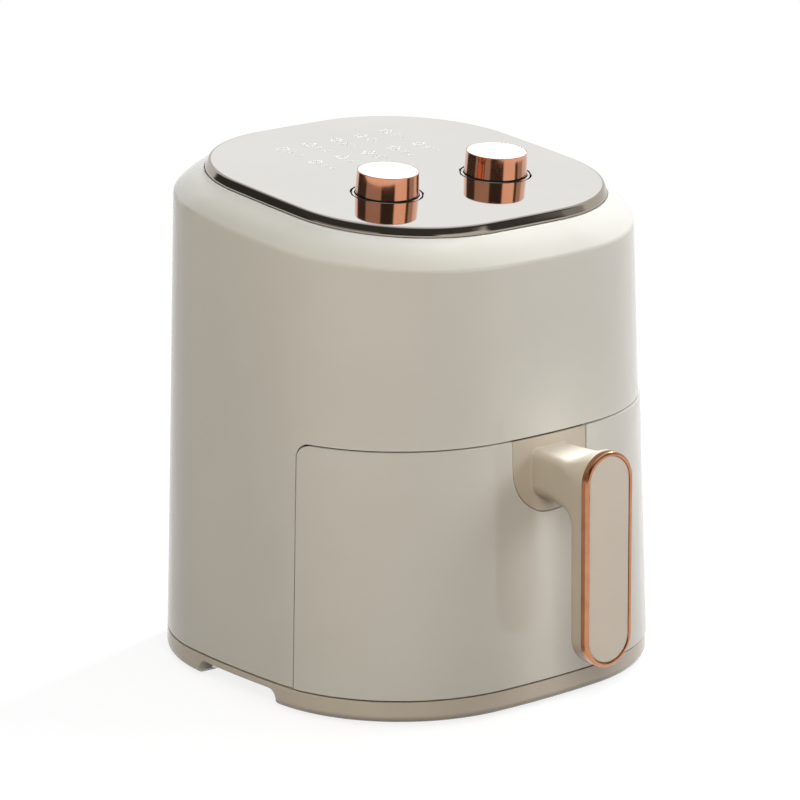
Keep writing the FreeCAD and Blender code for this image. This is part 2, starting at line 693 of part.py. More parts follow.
def tilted(height):
    """A plane that slopes with the panel and crosses the body's axis at a height."""
    return FreeCAD.Placement(Vector(0, 0, height), FreeCAD.Rotation(X_AXIS, float(size.panel_tilt)))


def wall_outline(height, grow, where):
    """The body's outline at a height, grown outwards, on a level or tilted plane."""
    stretch = 1 / math.cos(where.Rotation.Angle)
    half_x = float(half_width(height)) + grow
    half_y = (float(half_depth(height)) + grow) * stretch
    return outline(half_x, half_y, float(size.corner_radius) + grow, float(size.side_bow), where)


def wall_form(grow, low=0.0):
    """Solid inside the body's side walls, from a low level up to the shoulder's edge."""
    top = float(size.shoulder_height)
    lower = wall_outline(low, grow, level(low))
    upper = wall_outline(top, grow, tilted(top))
    return Part.makeLoft([lower, upper], True, True)


def body_form(grow, seat_drop):
    """The wall form closed by the sloping shoulder, up to the panel's seat."""
    top = float(size.shoulder_height)
    seat = tilted(float(size.panel_height))
    normal = seat.Rotation.multVec(Z_AXIS)
    seat.Base = seat.Base - normal * (float(size.panel_thickness) + seat_drop)
    seat.Base = seat.multVec(Vector(0, -float(size.panel_forward), 0))
    ledge = float(size.panel_ledge) + grow
    rim = outline(
        float(size.panel_width) / 2 + ledge,
        float(size.panel_depth) / 2 + ledge,
        float(size.panel_corner) + ledge,
        float(size.side_bow) / 4,
        seat,
    )
    edge = wall_outline(top, grow, tilted(top))
    shoulder = Part.makeLoft([edge, rim], True, True)
    form = wall_form(grow).fuse(shoulder).removeSplitter()
    crossing = Vector(0, 0, top)
    on_edge = []
    for line in form.Edges:
        middle = line.valueAt((line.FirstParameter + line.LastParameter) / 2)
        if abs((middle - crossing).dot(normal)) < 0.01 and line.BoundBox.DiagonalLength > 1:
            on_edge.append(line)
    return form.makeFillet(float(size.shoulder_round) + grow, on_edge)


def drawer_prism(rear, low, high, corner):
    """Everything in front of a rear plane between two heights, with the upper rear corner rounded."""
    reach = float(WIDE)
    front = -reach
    side = corner * (1 - math.sqrt(0.5))
    path = [
        Part.LineSegment(Vector(-reach, front, low), Vector(-reach, rear, low)),
        Part.LineSegment(Vector(-reach, rear, low), Vector(-reach, rear, high - corner)),
        Part.Arc(
            Vector(-reach, rear, high - corner),
            Vector(-reach, rear - side, high - side),
            Vector(-reach, rear - corner, high),
        ),
        Part.LineSegment(Vector(-reach, rear - corner, high), Vector(-reach, front, high)),
        Part.LineSegment(Vector(-reach, front, high), Vector(-reach, front, low)),
    ]
    return Part.Face(Part.Wire([line.toShape() for line in path])).extrude(Vector(2 * reach, 0, 0))


def root_prism(grow, high):
    """The handle root's outline, straight sides over a half-round foot, carried through the front wall."""
    radius = float(size.root_width) / 2 + grow
    centre = float(size.root_bottom) + float(size.root_width) / 2
    front = -float(WIDE)
    path = [
        Part.LineSegment(Vector(radius, front, high), Vector(-radius, front, high)),
        Part.LineSegment(Vector(-radius, front, high), Vector(-radius, front, centre)),
        Part.Arc(
            Vector(-radius, front, centre),
            Vector(0, front, centre - radius),
            Vector(radius, front, centre),
        ),
        Part.LineSegment(Vector(radius, front, centre), Vector(radius, front, high)),
    ]
    return Part.Face(Part.Wire([line.toShape() for line in path])).extrude(Vector(0, float(WIDE), 0))


def rod(radius, length, start, direction):
    return Part.makeCylinder(float(radius), float(length), start, direction)


boss_side_x = half_width(size.floor_height) - size.shell_wall - size.boss_inset
boss_rear_y = half_depth(size.floor_height) - size.shell_wall - size.boss_inset
boss_places = [
    (-boss_side_x, size.boss_side),
    (boss_side_x, size.boss_side),
    (-size.boss_rear, boss_rear_y),
    (size.boss_rear, boss_rear_y),
]
vent_louvred = size.vent_tall - 2 * size.vent_margin
vent_slot_step = (vent_louvred - size.vent_slot) / (size.vent_slots - 1)


def vent_box(grow):
    """The rear vent's block, from inside the rear wall outwards."""
    wide = float(size.vent_width) + 2 * grow
    tall = float(size.vent_high - size.vent_low) + 2 * grow
    corner = Vector(-wide / 2, 0, float(size.vent_low) - grow)
    return Part.makeBox(wide, float(WIDE), tall, corner)


def screw_hole(x, y, z, length, direction, radius=None):
    radius = radius or float(size.screw_radius + size.screw_gap)
    return rod(radius, length, Vector(float(x), float(y), float(z)), direction)


def make_shell():
    wall = float(size.shell_wall)
    outside = body_form(0.0, 0.0)
    inside = body_form(-wall, wall)
    shell = outside.cut(inside)
    seam = float(size.drawer_seam)
    low = float(size.seam_height)
    opening = drawer_prism(
        -float(size.drawer_rear) + seam,
        -low,
        float(size.drawer_top) + seam,
        float(size.drawer_corner) + seam,
    )
    below = Part.makeBox(2 * float(WIDE), 2 * float(WIDE), 2 * low, Vector(-float(WIDE), -float(WIDE), -low))
    shell = shell.cut([opening, below])
    keep = wall_form(-wall / 2)
    clear_of_base = wall_form(-float(size.base_wall + size.frame_clear))
    bosses = []
    for x, y in boss_places:
        foot = Vector(float(x), float(y), float(size.floor_height))
        bosses.append(rod(size.boss_radius, size.boss_height, foot, Z_AXIS).common(clear_of_base))
        foot.z = low
        bosses.append(rod(size.boss_radius, size.boss_height, foot, Z_AXIS).common(keep))
    shell = shell.fuse(bosses)
    holes = [screw_hole(x, y, 0, float(size.boss_height), Z_AXIS) for x, y in boss_places]
    panel = tilted(float(size.panel_height))
    normal = panel.Rotation.multVec(Z_AXIS)
    for side in (-1, 1):
        middle = panel.multVec(Vector(side * float(size.knob_spacing) / 2, float(knob_back), 0))
        holes.append(rod(size.neck_radius + size.neck_gap, 2 * WIDE, middle - normal * float(WIDE), normal))
    hole_length = control_screw_length + size.screw_gap
    for x, y in control_screw_places:
        middle = panel.multVec(Vector(float(x), float(y), float(bracket_under)))
        holes.append(rod(size.screw_radius + size.screw_gap, hole_length, middle, normal))
    gland = Vector(0, 0, float(size.gland_height))
    holes.append(rod(size.gland_radius + size.gland_gap, WIDE, gland, Y_AXIS))
    return shell.cut(holes).cut(vent_box(float(size.vent_gap)))


control_screw_length = size.control_gauge + size.shell_wall * 0.6
control_screw_x = size.control_width / 2 - 2 * size.screw_head
control_screw_y = size.control_depth / 2 - 2 * size.screw_head
control_screw_places = [
    (side * control_screw_x, knob_back + end * control_screw_y) for side in (-1, 1) for end in (-1, 1)
]
moulding("outer_shell", make_shell())


foot_places = [
    (x * size.foot_spread_x, y * size.foot_spread_y) for x, y in ((-1, -1), (1, -1), (1, 1), (-1, 1))
]


def make_base():
    lift = float(size.base_lift)
    top = float(size.seam_height - size.seam_gap)
    lower = wall_outline(lift, 0.0, level(lift))
    upper = wall_outline(top, 0.0, level(top))
    block = Part.makeLoft([lower, upper], True, True)
    foot_edges = [line for line in block.Edges if line.BoundBox.ZMax < lift + 0.01]
    block = block.makeFillet(float(size.base_round), foot_edges)
    inside = wall_form(-float(size.base_wall), -float(size.seam_height))
    span = float(WIDE)
    under = float(size.floor_height - size.floor_gauge)
    floor = Part.makeBox(2 * span, 2 * span, float(size.floor_gauge), Vector(-span, -span, under))
    base = block.cut(inside.cut(floor))
    length = float(size.arch_length)
    arch_corner = Vector(-span, -float(size.arch_forward) - length / 2, -under)
    arch = Part.makeBox(2 * span, length, 2 * under, arch_corner)
    along = [line for line in arch.Edges if line.BoundBox.XLength > span and line.BoundBox.ZMin > 0]
    base = base.cut(arch.makeFillet(float(size.arch_round), along))
    foot = float(size.foot_height)
    bosses = []
    for x, y in foot_places:
        spot = Vector(float(x), float(y), foot)
        bosses.append(rod(size.foot_radius + size.base_wall, under - foot, spot, Z_AXIS))
    base = base.fuse(bosses)
    holes = [screw_hole(x, y, 0, span, Z_AXIS) for x, y in boss_places]
    return base.cut(holes).removeSplitter()


moulding("base_tray", make_base())

feet = [
    cylinder(f"foot_{index}", size.foot_radius, size.foot_height, (x, y, 0))
    for index, (x, y) in enumerate(foot_places, start=1)
]
node(group("foot_pads_group", feet), "foot_pads")
base_under = size.floor_height - size.floor_gauge
base_screw_seats = [(x, y, base_under) for x, y in boss_places]
node(screws("base_screw", base_screw_seats, size.floor_gauge + size.boss_height / 2, "Z"), "base_screws")

# Mirror panel: an upright lower edge, then a bevel up to the flat top, with two wells for the knobs.
body = new_body("top_panel")
panel_half_x = size.panel_width / 2
panel_near = -(size.panel_forward + size.panel_depth / 2)
panel_far = size.panel_depth / 2 - size.panel_forward
edge_sketch = sketch_on(body, "panel_edge_outline", "XY_Plane", -size.panel_thickness)
rounded_rectangle(edge_sketch, -panel_half_x, panel_half_x, panel_near, panel_far, size.panel_corner)
pad(body, edge_sketch, size.panel_edge)
foot_sketch = sketch_on(body, "bevel_foot", "XY_Plane", size.panel_edge - size.panel_thickness)
rounded_rectangle(foot_sketch, -panel_half_x, panel_half_x, panel_near, panel_far, size.panel_corner)
top_sketch = sketch_on(body, "bevel_top", "XY_Plane")
rounded_rectangle(
    top_sketch,
    size.panel_bevel - panel_half_x,
    panel_half_x - size.panel_bevel,
    panel_near + size.panel_bevel,
    panel_far - size.panel_bevel,
    size.panel_corner - size.panel_bevel,
)
bevel = body.newObject("PartDesign::AdditiveLoft", "bevel")
bevel.Profile = foot_sketch
bevel.Sections = [top_sketch]
bevel.Ruled = True
wells = sketch_on(body, "knob_wells", "XY_Plane")
for side in (-1, 1):
    circle(wells, side * size.knob_spacing / 2, knob_back, size.knob_radius + size.knob_well)
pocket(body, wells, both_ways=True)
panel_node(body, "top_panel")

# Controls under the deck, each with a neck that stands up through bracket and deck.
body = new_body("control_bracket")
plate = sketch_on(body, "bracket_plate", "XY_Plane", bracket_under)
rectangle(
    plate,
    -size.control_width / 2,
    size.control_width / 2,
    knob_back - size.control_depth / 2,
    knob_back + size.control_depth / 2,
)
pad(body, plate, size.control_gauge)
holes = sketch_on(body, "bracket_holes", "XY_Plane", bracket_under)
for side in (-1, 1):
    circle(holes, side * size.knob_spacing / 2, knob_back, size.neck_radius + size.neck_gap)
for x, y in control_screw_places:
    circle(holes, x, y, size.screw_radius + size.screw_gap)
pocket(body, holes, both_ways=True)
panel_node(body, "control_bracket")

control_seats = [(x, y, bracket_under) for x, y in control_screw_places]
panel_node(screws("control_screw", control_seats, control_screw_length, "Z"), "control_screws")


def control(name, side, height):
    """A control's case with its neck and the bore that its spindle turns in."""
    case = new_body(name)
    half = size.case_size / 2
    block = sketch_on(case, name + "_block", "XY_Plane", bracket_under - height)
    rectangle(block, -half, half, -half, half)
    pad(case, block, height)
    neck = sketch_on(case, name + "_neck", "XY_Plane", bracket_under)
    circle(neck, 0, 0, size.neck_radius)
    pad(case, neck, size.control_gauge + size.shell_wall)
    bore = sketch_on(case, name + "_bore", "XY_Plane", deck_under + size.shell_wall)
    circle(bore, 0, 0, size.spindle_radius + size.running_fit)
    pocket(case, bore, size.control_gauge + size.shell_wall + size.spindle_entry + size.knob_lift)
    return panel_node(case, name, side * size.knob_spacing / 2, knob_back)


control("thermostat_case", -1, size.thermostat_height)
control("timer_case", 1, size.timer_height)

bell_top = bracket_under - size.timer_height
body = turned("timer_bell", [
    (sized(0), bell_top),
    (size.bell_radius / 3, bell_top),
    (size.bell_radius, bell_top - size.bell_height / 2),
    (size.bell_radius, bell_top - size.bell_height),
    (size.bell_radius - size.control_gauge, bell_top - size.bell_height),
    (size.bell_radius - size.control_gauge, bell_top - size.bell_height / 2 - size.control_gauge),
    (size.bell_radius / 3, bell_top - size.control_gauge),
    (sized(0), bell_top - size.control_gauge),
])
panel_node(body, "timer_bell", size.knob_spacing / 2, knob_back)


def knob(prefix, side):
    """A knob's copper body, its cap and the spindle that carries it."""
    place_x = side * size.knob_spacing / 2
    skirt = size.knob_lift - size.panel_thickness
    bore = size.spindle_radius + size.running_fit
    cap_seat = size.knob_height - size.cap_gauge
    web = cap_seat - size.knob_wall
    bore_end = web - size.knob_wall
    inner = size.knob_radius - size.knob_wall
    shape = turned(prefix + "_knob", [
        (bore, sized(0)),
        (size.hub_radius, sized(0)),
        (size.hub_radius, web),
        (inner - size.knob_draft, web),
        (inner, skirt),
        (size.knob_radius, skirt),
        (size.knob_radius - size.knob_draft, size.knob_height),
        (size.cap_radius, size.knob_height),
        (size.cap_radius, cap_seat),
        (sized(0), cap_seat),
        (sized(0), bore_end),
        (bore, bore_end),
    ])
    panel_node(shape, prefix + "_knob", place_x, knob_back)
    cap = cylinder(prefix + "_cap_disc", size.cap_radius - size.running_fit, size.cap_gauge, (0, 0, cap_seat))
    panel_node(group(prefix + "_cap_group", [cap]), prefix + "_cap", place_x, knob_back)
    foot = bracket_under - size.spindle_entry
    reach = bore_end - size.running_fit - foot
    spindle = cylinder(prefix + "_spindle", size.spindle_radius, reach, (0, 0, foot))
    panel_node(group(prefix + "_shaft_group", [spindle]), prefix + "_shaft", place_x, knob_back)


knob("thermostat", -1)
knob("timer", 1)

# Sleeve around the drawer space: side and rear walls that stand on the base floor and carry the deck.
body = new_body("cavity_liner")
liner_half = size.liner_width / 2
liner_front = frame_back - 2 * size.liner_corner
liner_block = sketch_on(body, "liner_block", "XY_Plane", size.floor_height)
rounded_rectangle(liner_block, -liner_half, liner_half, liner_front, size.liner_rear, size.liner_corner)
liner_tall = size.deck_height - size.floor_height
pad(body, liner_block, liner_tall)
liner_hollow = sketch_on(body, "liner_hollow", "XY_Plane", size.floor_height)
rounded_rectangle(
    liner_hollow,
    size.liner_gauge - liner_half,
    liner_half - size.liner_gauge,
    liner_front + size.liner_gauge,
    size.liner_rear - size.liner_gauge,
    size.liner_corner - size.liner_gauge,
)
pocket(body, liner_hollow, both_ways=True)
liner_mouth = sketch_on(body, "liner_mouth", "XY_Plane", size.floor_height)
rectangle(liner_mouth, -size.liner_width, size.liner_width, liner_front - size.liner_corner, frame_back)
pocket(body, liner_mouth, both_ways=True)
plunger_hole = sketch_on(body, "plunger_hole", "XZ_Plane", -size.liner_rear)
circle(plunger_hole, size.switch_place, size.switch_height, size.plunger_radius + 2 * size.plunger_clear)
pocket(body, plunger_hole, 4 * size.liner_gauge, both_ways=True)
node(body, "cavity_liner")

# Frame that closes the space between liner and shell behind the drawer front.
body = new_body("front_frame")
frame_low = size.seam_height
frame_high = size.deck_height
frame_sketch = sketch_on(body, "frame_outline", "XZ_Plane", -frame_front)
low_half = inner_half(frame_low, -frame_front) - size.frame_clear
high_half = inner_half(frame_high, -frame_front) - size.frame_clear
frame_corners = [
    (-low_half, frame_low),
    (low_half, frame_low),
    (high_half, frame_high),
    (-high_half, frame_high),
]
polygon(frame_sketch, frame_corners)
frame_pad = pad(body, frame_sketch, size.frame_gauge)
frame_pad.Reversed = True
frame_hole = sketch_on(body, "frame_hole", "XZ_Plane", -frame_front)
hole_half = liner_half - size.liner_gauge
rectangle(frame_hole, -hole_half, hole_half, frame_low - size.frame_gauge, frame_high - size.frame_gauge)
pocket(body, frame_hole, both_ways=True)
node(body, "front_frame")

rail_tall = size.pan_bottom - size.rail_clear - size.floor_height
rail_extent = (size.rail_width, size.rail_front + size.rail_rear, rail_tall)
rails = []
for name, side in (("left", -1), ("right", 1)):
    rail_x = side * size.rail_spread - size.rail_width / 2
    rails.append(box(f"rail_{name}", (rail_x, -size.rail_front, size.floor_height), rail_extent))
node(group("drawer_rail_pair", rails), "drawer_rails")

# Deck over the cavity, with the heater's mouth, the duct's slot and the strap's screw holes.
strap_foot_x = size.strap_span / 2 + size.strap_foot / 2
strap_hole_y = size.strap_width / 2 - 2 * size.screw_head
strap_places = [(side * strap_foot_x, end * strap_hole_y) for side in (-1, 1) for end in (-1, 1)]
body = new_body("heater_deck")
deck_sketch = sketch_on(body, "deck_plate", "XY_Plane", size.deck_height)
rounded_rectangle(
    deck_sketch,
    -size.deck_width / 2,
    size.deck_width / 2,
    -size.deck_depth / 2,
    size.deck_depth / 2,
    size.deck_corner,
)
pad(body, deck_sketch, size.deck_gauge)
duct_rear = inner_back(deck_top + size.duct_height, size.duct_width / 2) - size.frame_clear
deck_holes = sketch_on(body, "deck_holes", "XY_Plane", size.deck_height)
circle(deck_holes, 0, 0, size.bowl_mouth)
rectangle(
    deck_holes,
    size.duct_wall - size.duct_width / 2,
    size.duct_width / 2 - size.duct_wall,
    size.duct_front + size.duct_wall,
    size.liner_rear - size.liner_gauge - size.duct_wall,
)
for x, y in strap_places:
    circle(deck_holes, x, y, size.screw_radius + size.screw_gap)
pocket(body, deck_holes, both_ways=True)
node(body, "heater_deck")

crown_under = bowl_top - size.bowl_gauge
body = turned("heater_bowl", [
    (size.bowl_mouth, deck_top),
    (size.bowl_crown, crown_under),
    (size.shaft_hole, crown_under),
    (size.shaft_hole, bowl_top),
    (size.bowl_crown + size.bowl_gauge, bowl_top),
    (size.bowl_mouth + size.bowl_gauge, deck_top + size.bowl_gauge),
    (size.bowl_mouth + size.bowl_flange, deck_top + size.bowl_gauge),
    (size.bowl_mouth + size.bowl_flange, deck_top),
])
element_end = size.element_start + 2 * size.element_pitch
element_holes = sketch_on(body, "element_holes", "XY_Plane", bowl_top)
circle(element_holes, size.element_start, -size.element_bend, size.element_tube + size.element_gap)
circle(element_holes, element_end, size.element_bend, size.element_tube + size.element_gap)
pocket(body, element_holes, 2 * size.bowl_gauge)
node(body, "heater_bowl")


def make_element():
    """Tubular heater: two flat turns of half circles that grow outwards, with both ends bent upright."""
    height = float(bowl_top - size.element_drop)
    top = float(bowl_top + size.element_tail)
    bend = float(size.element_bend)
    inset = bend * (1 - math.sqrt(0.5))
    start = float(size.element_start)
    step = float(size.element_pitch) / 2
    path = [
        Part.LineSegment(Vector(start, -bend, top), Vector(start, -bend, height + bend)),
        Part.Arc(
            Vector(start, -bend, height + bend),
            Vector(start, -bend + inset, height + inset),
            Vector(start, 0, height),
        ),
    ]
    radius = start
    for half_turn in range(4):
        side = 1 if half_turn % 2 == 0 else -1
        grown = radius + step
        middle = side * (radius - grown) / 2
        crest = Vector(middle, side * (radius + grown) / 2, height)
        path.append(Part.Arc(Vector(side * radius, 0, height), crest, Vector(-side * grown, 0, height)))
        radius = grown
    path.append(Part.Arc(
        Vector(radius, 0, height),
        Vector(radius, bend - inset, height + inset),
        Vector(radius, bend, height + bend),
    ))
    path.append(Part.LineSegment(Vector(radius, bend, height + bend), Vector(radius, bend, top)))
    wire = Part.Wire([piece.toShape() for piece in path])
    section = Part.Wire([Part.Circle(Vector(start, -bend, top), Z_AXIS, float(size.element_tube)).toShape()])
    tube = wire.makePipeShell([section], True, False)
    expected = math.pi * float(size.element_tube) ** 2 * wire.Length
    if abs(tube.Volume - expected) > 0.01 * expected:
        raise RuntimeError("the heater's tube doesn't have its section times its length")
    return tube


moulding("heating_element", make_element())

# Wire guard under the heater: rings joined by spokes.
guard_outer = size.bowl_mouth - size.guard_gap - size.guard_wire
guard_level = deck_top + size.guard_wire
wires = []
for index in range(3):
    ring = doc.addObject("Part::Torus", f"guard_ring_{index + 1}")
    bind(ring, "Radius1", guard_outer - index * size.guard_step)
    bind(ring, "Radius2", size.guard_wire)
    wires.append(place(ring, z=guard_level))
for index, turn in enumerate((0, 90), start=1):
    spoke = doc.addObject("Part::Box", f"guard_spoke_{index}")
    bind(spoke, "Length", 2 * guard_outer if turn == 0 else 2 * size.guard_wire)
    bind(spoke, "Width", 2 * size.guard_wire if turn == 0 else 2 * guard_outer)
    bind(spoke, "Height", size.guard_wire)
    half_x = guard_outer if turn == 0 else size.guard_wire
    half_y = size.guard_wire if turn == 0 else guard_outer
    wires.append(place(spoke, -half_x, -half_y, guard_level))
node(fuse("guard_wires", wires), "heater_guard")

body = turned("heat_shield", [
    (size.shaft_hole, bowl_top),
    (size.shield_radius, bowl_top),
    (size.shield_radius, bowl_top + size.shield_gauge),
    (size.shaft_hole, bowl_top + size.shield_gauge),
])
node(body, "heat_shield")
cutout = cylinder("cutout_can", size.cutout_radius, size.cutout_height, (0, size.cutout_place, bowl_top))
node(group("cutout_group", [cutout]), "thermal_cutout")

# Fan drive: a strap over the bowl carries the motor, whose shaft turns both fans.
leg_out = size.strap_span / 2
leg_in = leg_out - size.strap_gauge
foot_out = leg_out + size.strap_foot
foot_top = deck_top + size.strap_gauge
body = new_body("motor_bracket")
strap = sketch_on(body, "strap_profile", "XZ_Plane")
polygon(strap, [
    (-foot_out, deck_top),
    (-leg_in, deck_top),
    (-leg_in, strap_under),
    (leg_in, strap_under),
    (leg_in, deck_top),
    (foot_out, deck_top),
    (foot_out, foot_top),
    (leg_out, foot_top),
    (leg_out, size.strap_top),
    (-leg_out, size.strap_top),
    (-leg_out, foot_top),
    (-foot_out, foot_top),
])
pad(body, strap, size.strap_width, both_ways=True)
motor_screw_x = size.motor_radius * 0.7
strap_hole = sketch_on(body, "strap_hole", "XY_Plane", size.strap_top)
circle(strap_hole, 0, 0, size.shaft_hole)
for side in (-1, 1):
    circle(strap_hole, side * motor_screw_x, 0, size.screw_radius + size.screw_gap)
pocket(body, strap_hole, 2 * size.strap_gauge)
foot_hole = sketch_on(body, "strap_foot_holes", "XY_Plane", foot_top)
for x, y in strap_places:
    circle(foot_hole, x, y, size.screw_radius + size.screw_gap)
pocket(body, foot_hole, 2 * size.strap_gauge)
node(body, "motor_bracket")

strap_screw_length = size.strap_gauge + size.deck_gauge
strap_seats = [(x, y, foot_top) for x, y in strap_places]
node(screws("bracket_screw", strap_seats, strap_screw_length, "-Z"), "bracket_screws")

motor_bore = size.shaft_radius + size.running_fit
motor_top = size.strap_top + size.motor_height
body = turned("motor", [
    (motor_bore, size.strap_top),
    (size.motor_radius, size.strap_top),
    (size.motor_radius, motor_top - size.fan_hub / 2),
    (size.motor_radius - size.fan_hub / 2, motor_top),
    (motor_bore, motor_top),
])
motor_entry = size.motor_height / 4
motor_tap = sketch_on(body, "motor_taps", "XY_Plane", size.strap_top)
for side in (-1, 1):
    circle(motor_tap, side * motor_screw_x, 0, size.screw_radius + size.screw_gap)
pocket(body, motor_tap, motor_entry + size.screw_gap, reverse=True)
node(body, "motor")
motor_seats = [(side * motor_screw_x, sized(0), strap_under) for side in (-1, 1)]
node(screws("motor_screw", motor_seats, size.strap_gauge + motor_entry, "Z"), "motor_screws")

shaft_length = size.shaft_top - size.shaft_bottom
shaft = cylinder("shaft_rod", size.shaft_radius, shaft_length, (0, 0, size.shaft_bottom))
node(group("shaft_group", [shaft]), "motor_shaft")


def fan(name, radius, low, height):
    """A fan wheel: hub, back plate on top and eight straight blades below it."""
    wheel = new_body(name)
    high = low + height
    plate_under = high - size.fan_plate
    disc = sketch_on(wheel, name + "_disc", "XY_Plane", plate_under)
    circle(disc, 0, 0, radius)
    pad(wheel, disc, size.fan_plate)
    hub = sketch_on(wheel, name + "_hub", "XY_Plane", low)
    circle(hub, 0, 0, size.fan_hub)
    pad(wheel, hub, height)
    vane = sketch_on(wheel, name + "_vane", "XY_Plane", low)
    half_plate = size.fan_plate / 2
    rectangle(vane, size.fan_hub - size.fan_plate, radius - size.fan_plate, -half_plate, half_plate)
    blade = pad(wheel, vane, height - size.fan_plate / 2)
    pattern = wheel.newObject("PartDesign::PolarPattern", name + "_vanes")
    pattern.Originals = [blade]
    pattern.Axis = (disc, ["N_Axis"])
    pattern.Angle = 360
    pattern.Occurrences = 8
    wheel.Tip = pattern
    bore = sketch_on(wheel, name + "_bore", "XY_Plane", high)
    circle(bore, 0, 0, motor_bore)
    pocket(wheel, bore, both_ways=True)
    return node(wheel, name)


fan("hot_air_fan", size.hot_fan_radius, size.hot_fan_bottom, size.hot_fan_height)
fan("cooling_fan", size.cool_fan_radius, size.cool_fan_bottom, size.cool_fan_height)

nut = doc.addObject("Part::Prism", "nut_block")
nut.Polygon = 6
bind(nut, "Circumradius", size.nut_radius)
bind(nut, "Height", size.nut_height)
nut_low = size.hot_fan_bottom - size.nut_height
place(nut, z=nut_low)
nut_bore = cylinder("nut_bore", motor_bore, 3 * size.nut_height, (0, 0, nut_low - size.nut_height))
node(cut("nut_cut", nut, nut_bore), "fan_nut")

# Outlet: an elbow over the deck's slot leads to the louvred vent in the rear wall.
body = new_body("exhaust_duct")
duct_half = size.duct_width / 2
duct_block = sketch_on(body, "duct_block", "XY_Plane", deck_top)
rectangle(duct_block, -duct_half, duct_half, size.duct_front, duct_rear)
pad(body, duct_block, size.duct_height)
duct_hollow = sketch_on(body, "duct_hollow", "XY_Plane", deck_top)
rectangle(
    duct_hollow,
    size.duct_wall - duct_half,
    duct_half - size.duct_wall,
    size.duct_front + size.duct_wall,
    duct_rear + size.duct_wall,
)
pocket(body, duct_hollow, size.duct_height - size.duct_wall, reverse=True)
node(body, "exhaust_duct")


def make_vent():
    wall = float(size.shell_wall)
    skin = wall_form(0.4 * wall).cut(wall_form(-wall))
    grille = skin.common(vent_box(0.0))
    margin = float(size.vent_margin)
    wide = float(size.vent_width) - 2 * margin
    slots = []
    for index in range(int(float(size.vent_slots))):
        low = float(size.vent_low) + margin + index * float(vent_slot_step)
        slots.append(Part.makeBox(wide, float(WIDE), float(size.vent_slot), Vector(-wide / 2, 0, low)))
    return grille.cut(slots)


moulding("rear_vent", make_vent())

body = new_body("cord_gland")
gland_sketch = sketch_on(body, "gland_profile", "XY_Plane", size.gland_height)
gland_seat = half_depth(size.gland_height - size.gland_flange) + size.gland_gap
gland_outer = gland_seat + size.gland_proud
gland_inner = gland_seat - size.shell_wall - 2 * size.gland_proud
polygon(gland_sketch, [
    (size.gland_bore, gland_inner),
    (size.gland_radius, gland_inner),
    (size.gland_radius, gland_seat),
    (size.gland_flange, gland_seat),
    (size.gland_flange - size.gland_proud / 2, gland_outer),
    (size.gland_bore, gland_outer),
])
revolve(body, gland_sketch)
node(body, "cord_gland")

terminal_left = -(size.bowl_mouth + size.bowl_flange + size.terminal_gap)
terminal_corner = (terminal_left, size.terminal_back, deck_top)
terminal_extent = (size.terminal_width, size.terminal_length, size.terminal_height)
terminal = box("terminal_body", terminal_corner, terminal_extent)
slot_corner = (
    terminal_corner[0] + size.terminal_width / 4,
    terminal_corner[1] - size.terminal_width,
    deck_top + size.terminal_height / 2,
)
slot_extent = (size.terminal_width / 2, 2 * size.terminal_length, size.terminal_height)
slot = box("terminal_slot", slot_corner, slot_extent)
node(cut("terminal_cut", terminal, slot), "terminal_block")

# Drawer switch on the liner's rear wall, with a plunger that the pan holds in.
half_switch = size.switch_size / 2
switch_corner = (size.switch_place - half_switch, size.liner_rear, size.switch_height - half_switch)
switch_case = box("switch_case", switch_corner, (size.switch_size, size.switch_depth, size.switch_size))
switch_bore = cylinder(
    "switch_bore",
    size.plunger_radius + size.running_fit,
    size.plunger_entry + size.plunger_clear,
    (size.switch_place, size.liner_rear, size.switch_height),
    "Y",
)
node(cut("switch_cut", switch_case, switch_bore), "interlock_switch")
plunger_tip = size.pan_rear + size.plunger_clear
plunger = cylinder(
    "plunger_rod",
    size.plunger_radius,
    size.liner_rear + size.plunger_entry - plunger_tip,
    (size.switch_place, plunger_tip, size.switch_height),
    "Y",
)
node(group("plunger_group", [plunger]), "interlock_plunger")

# Pan: a deep tub with rounded lower edges and an outward rim that rides on the rails.
body = new_body("frying_pan")
pan_half = size.pan_width / 2
tub = sketch_on(body, "pan_tub", "XY_Plane", size.pan_bottom)
rounded_rectangle(tub, -pan_half, pan_half, -size.pan_front, size.pan_rear, size.pan_corner)
pad(body, tub, size.pan_top - size.pan_bottom)
rim = sketch_on(body, "pan_rim", "XY_Plane", rim_under)
rounded_rectangle(
    rim,
    -pan_half - size.rim_width,
    pan_half + size.rim_width,
    rim_front,
    size.pan_rear + size.rim_width,
    size.pan_corner + size.rim_width,
)
pad(body, rim, size.rim_gauge)
hollow = sketch_on(body, "pan_hollow", "XY_Plane", size.pan_top)
rounded_rectangle(
    hollow,
    size.pan_wall - pan_half,
    pan_half - size.pan_wall,
    size.pan_wall - size.pan_front,
    size.pan_rear - size.pan_wall,
    size.pan_corner - size.pan_wall,
)
hollow_cut = pocket(body, hollow, size.pan_top - pan_floor)
inner_radius = size.pan_round - size.pan_wall
inner_round = round_edges(body, hollow_cut, lambda edge: lies_at(edge, pan_floor), inner_radius)
round_edges(body, inner_round, lambda edge: lies_at(edge, size.pan_bottom), size.pan_round)
pan_screw_places = [
    (side * (size.bracket_width / 2 - 2 * size.screw_head), (size.bracket_low + size.bracket_high) / 2)
    for side in (-1, 1)
]
pan_holes = sketch_on(body, "pan_holes", "XZ_Plane", size.pan_front)
for x, z in pan_screw_places:
    circle(pan_holes, x, z, size.screw_radius + size.screw_gap)
pocket(body, pan_holes, 2 * size.pan_wall, both_ways=True)
node(body, "frying_pan")

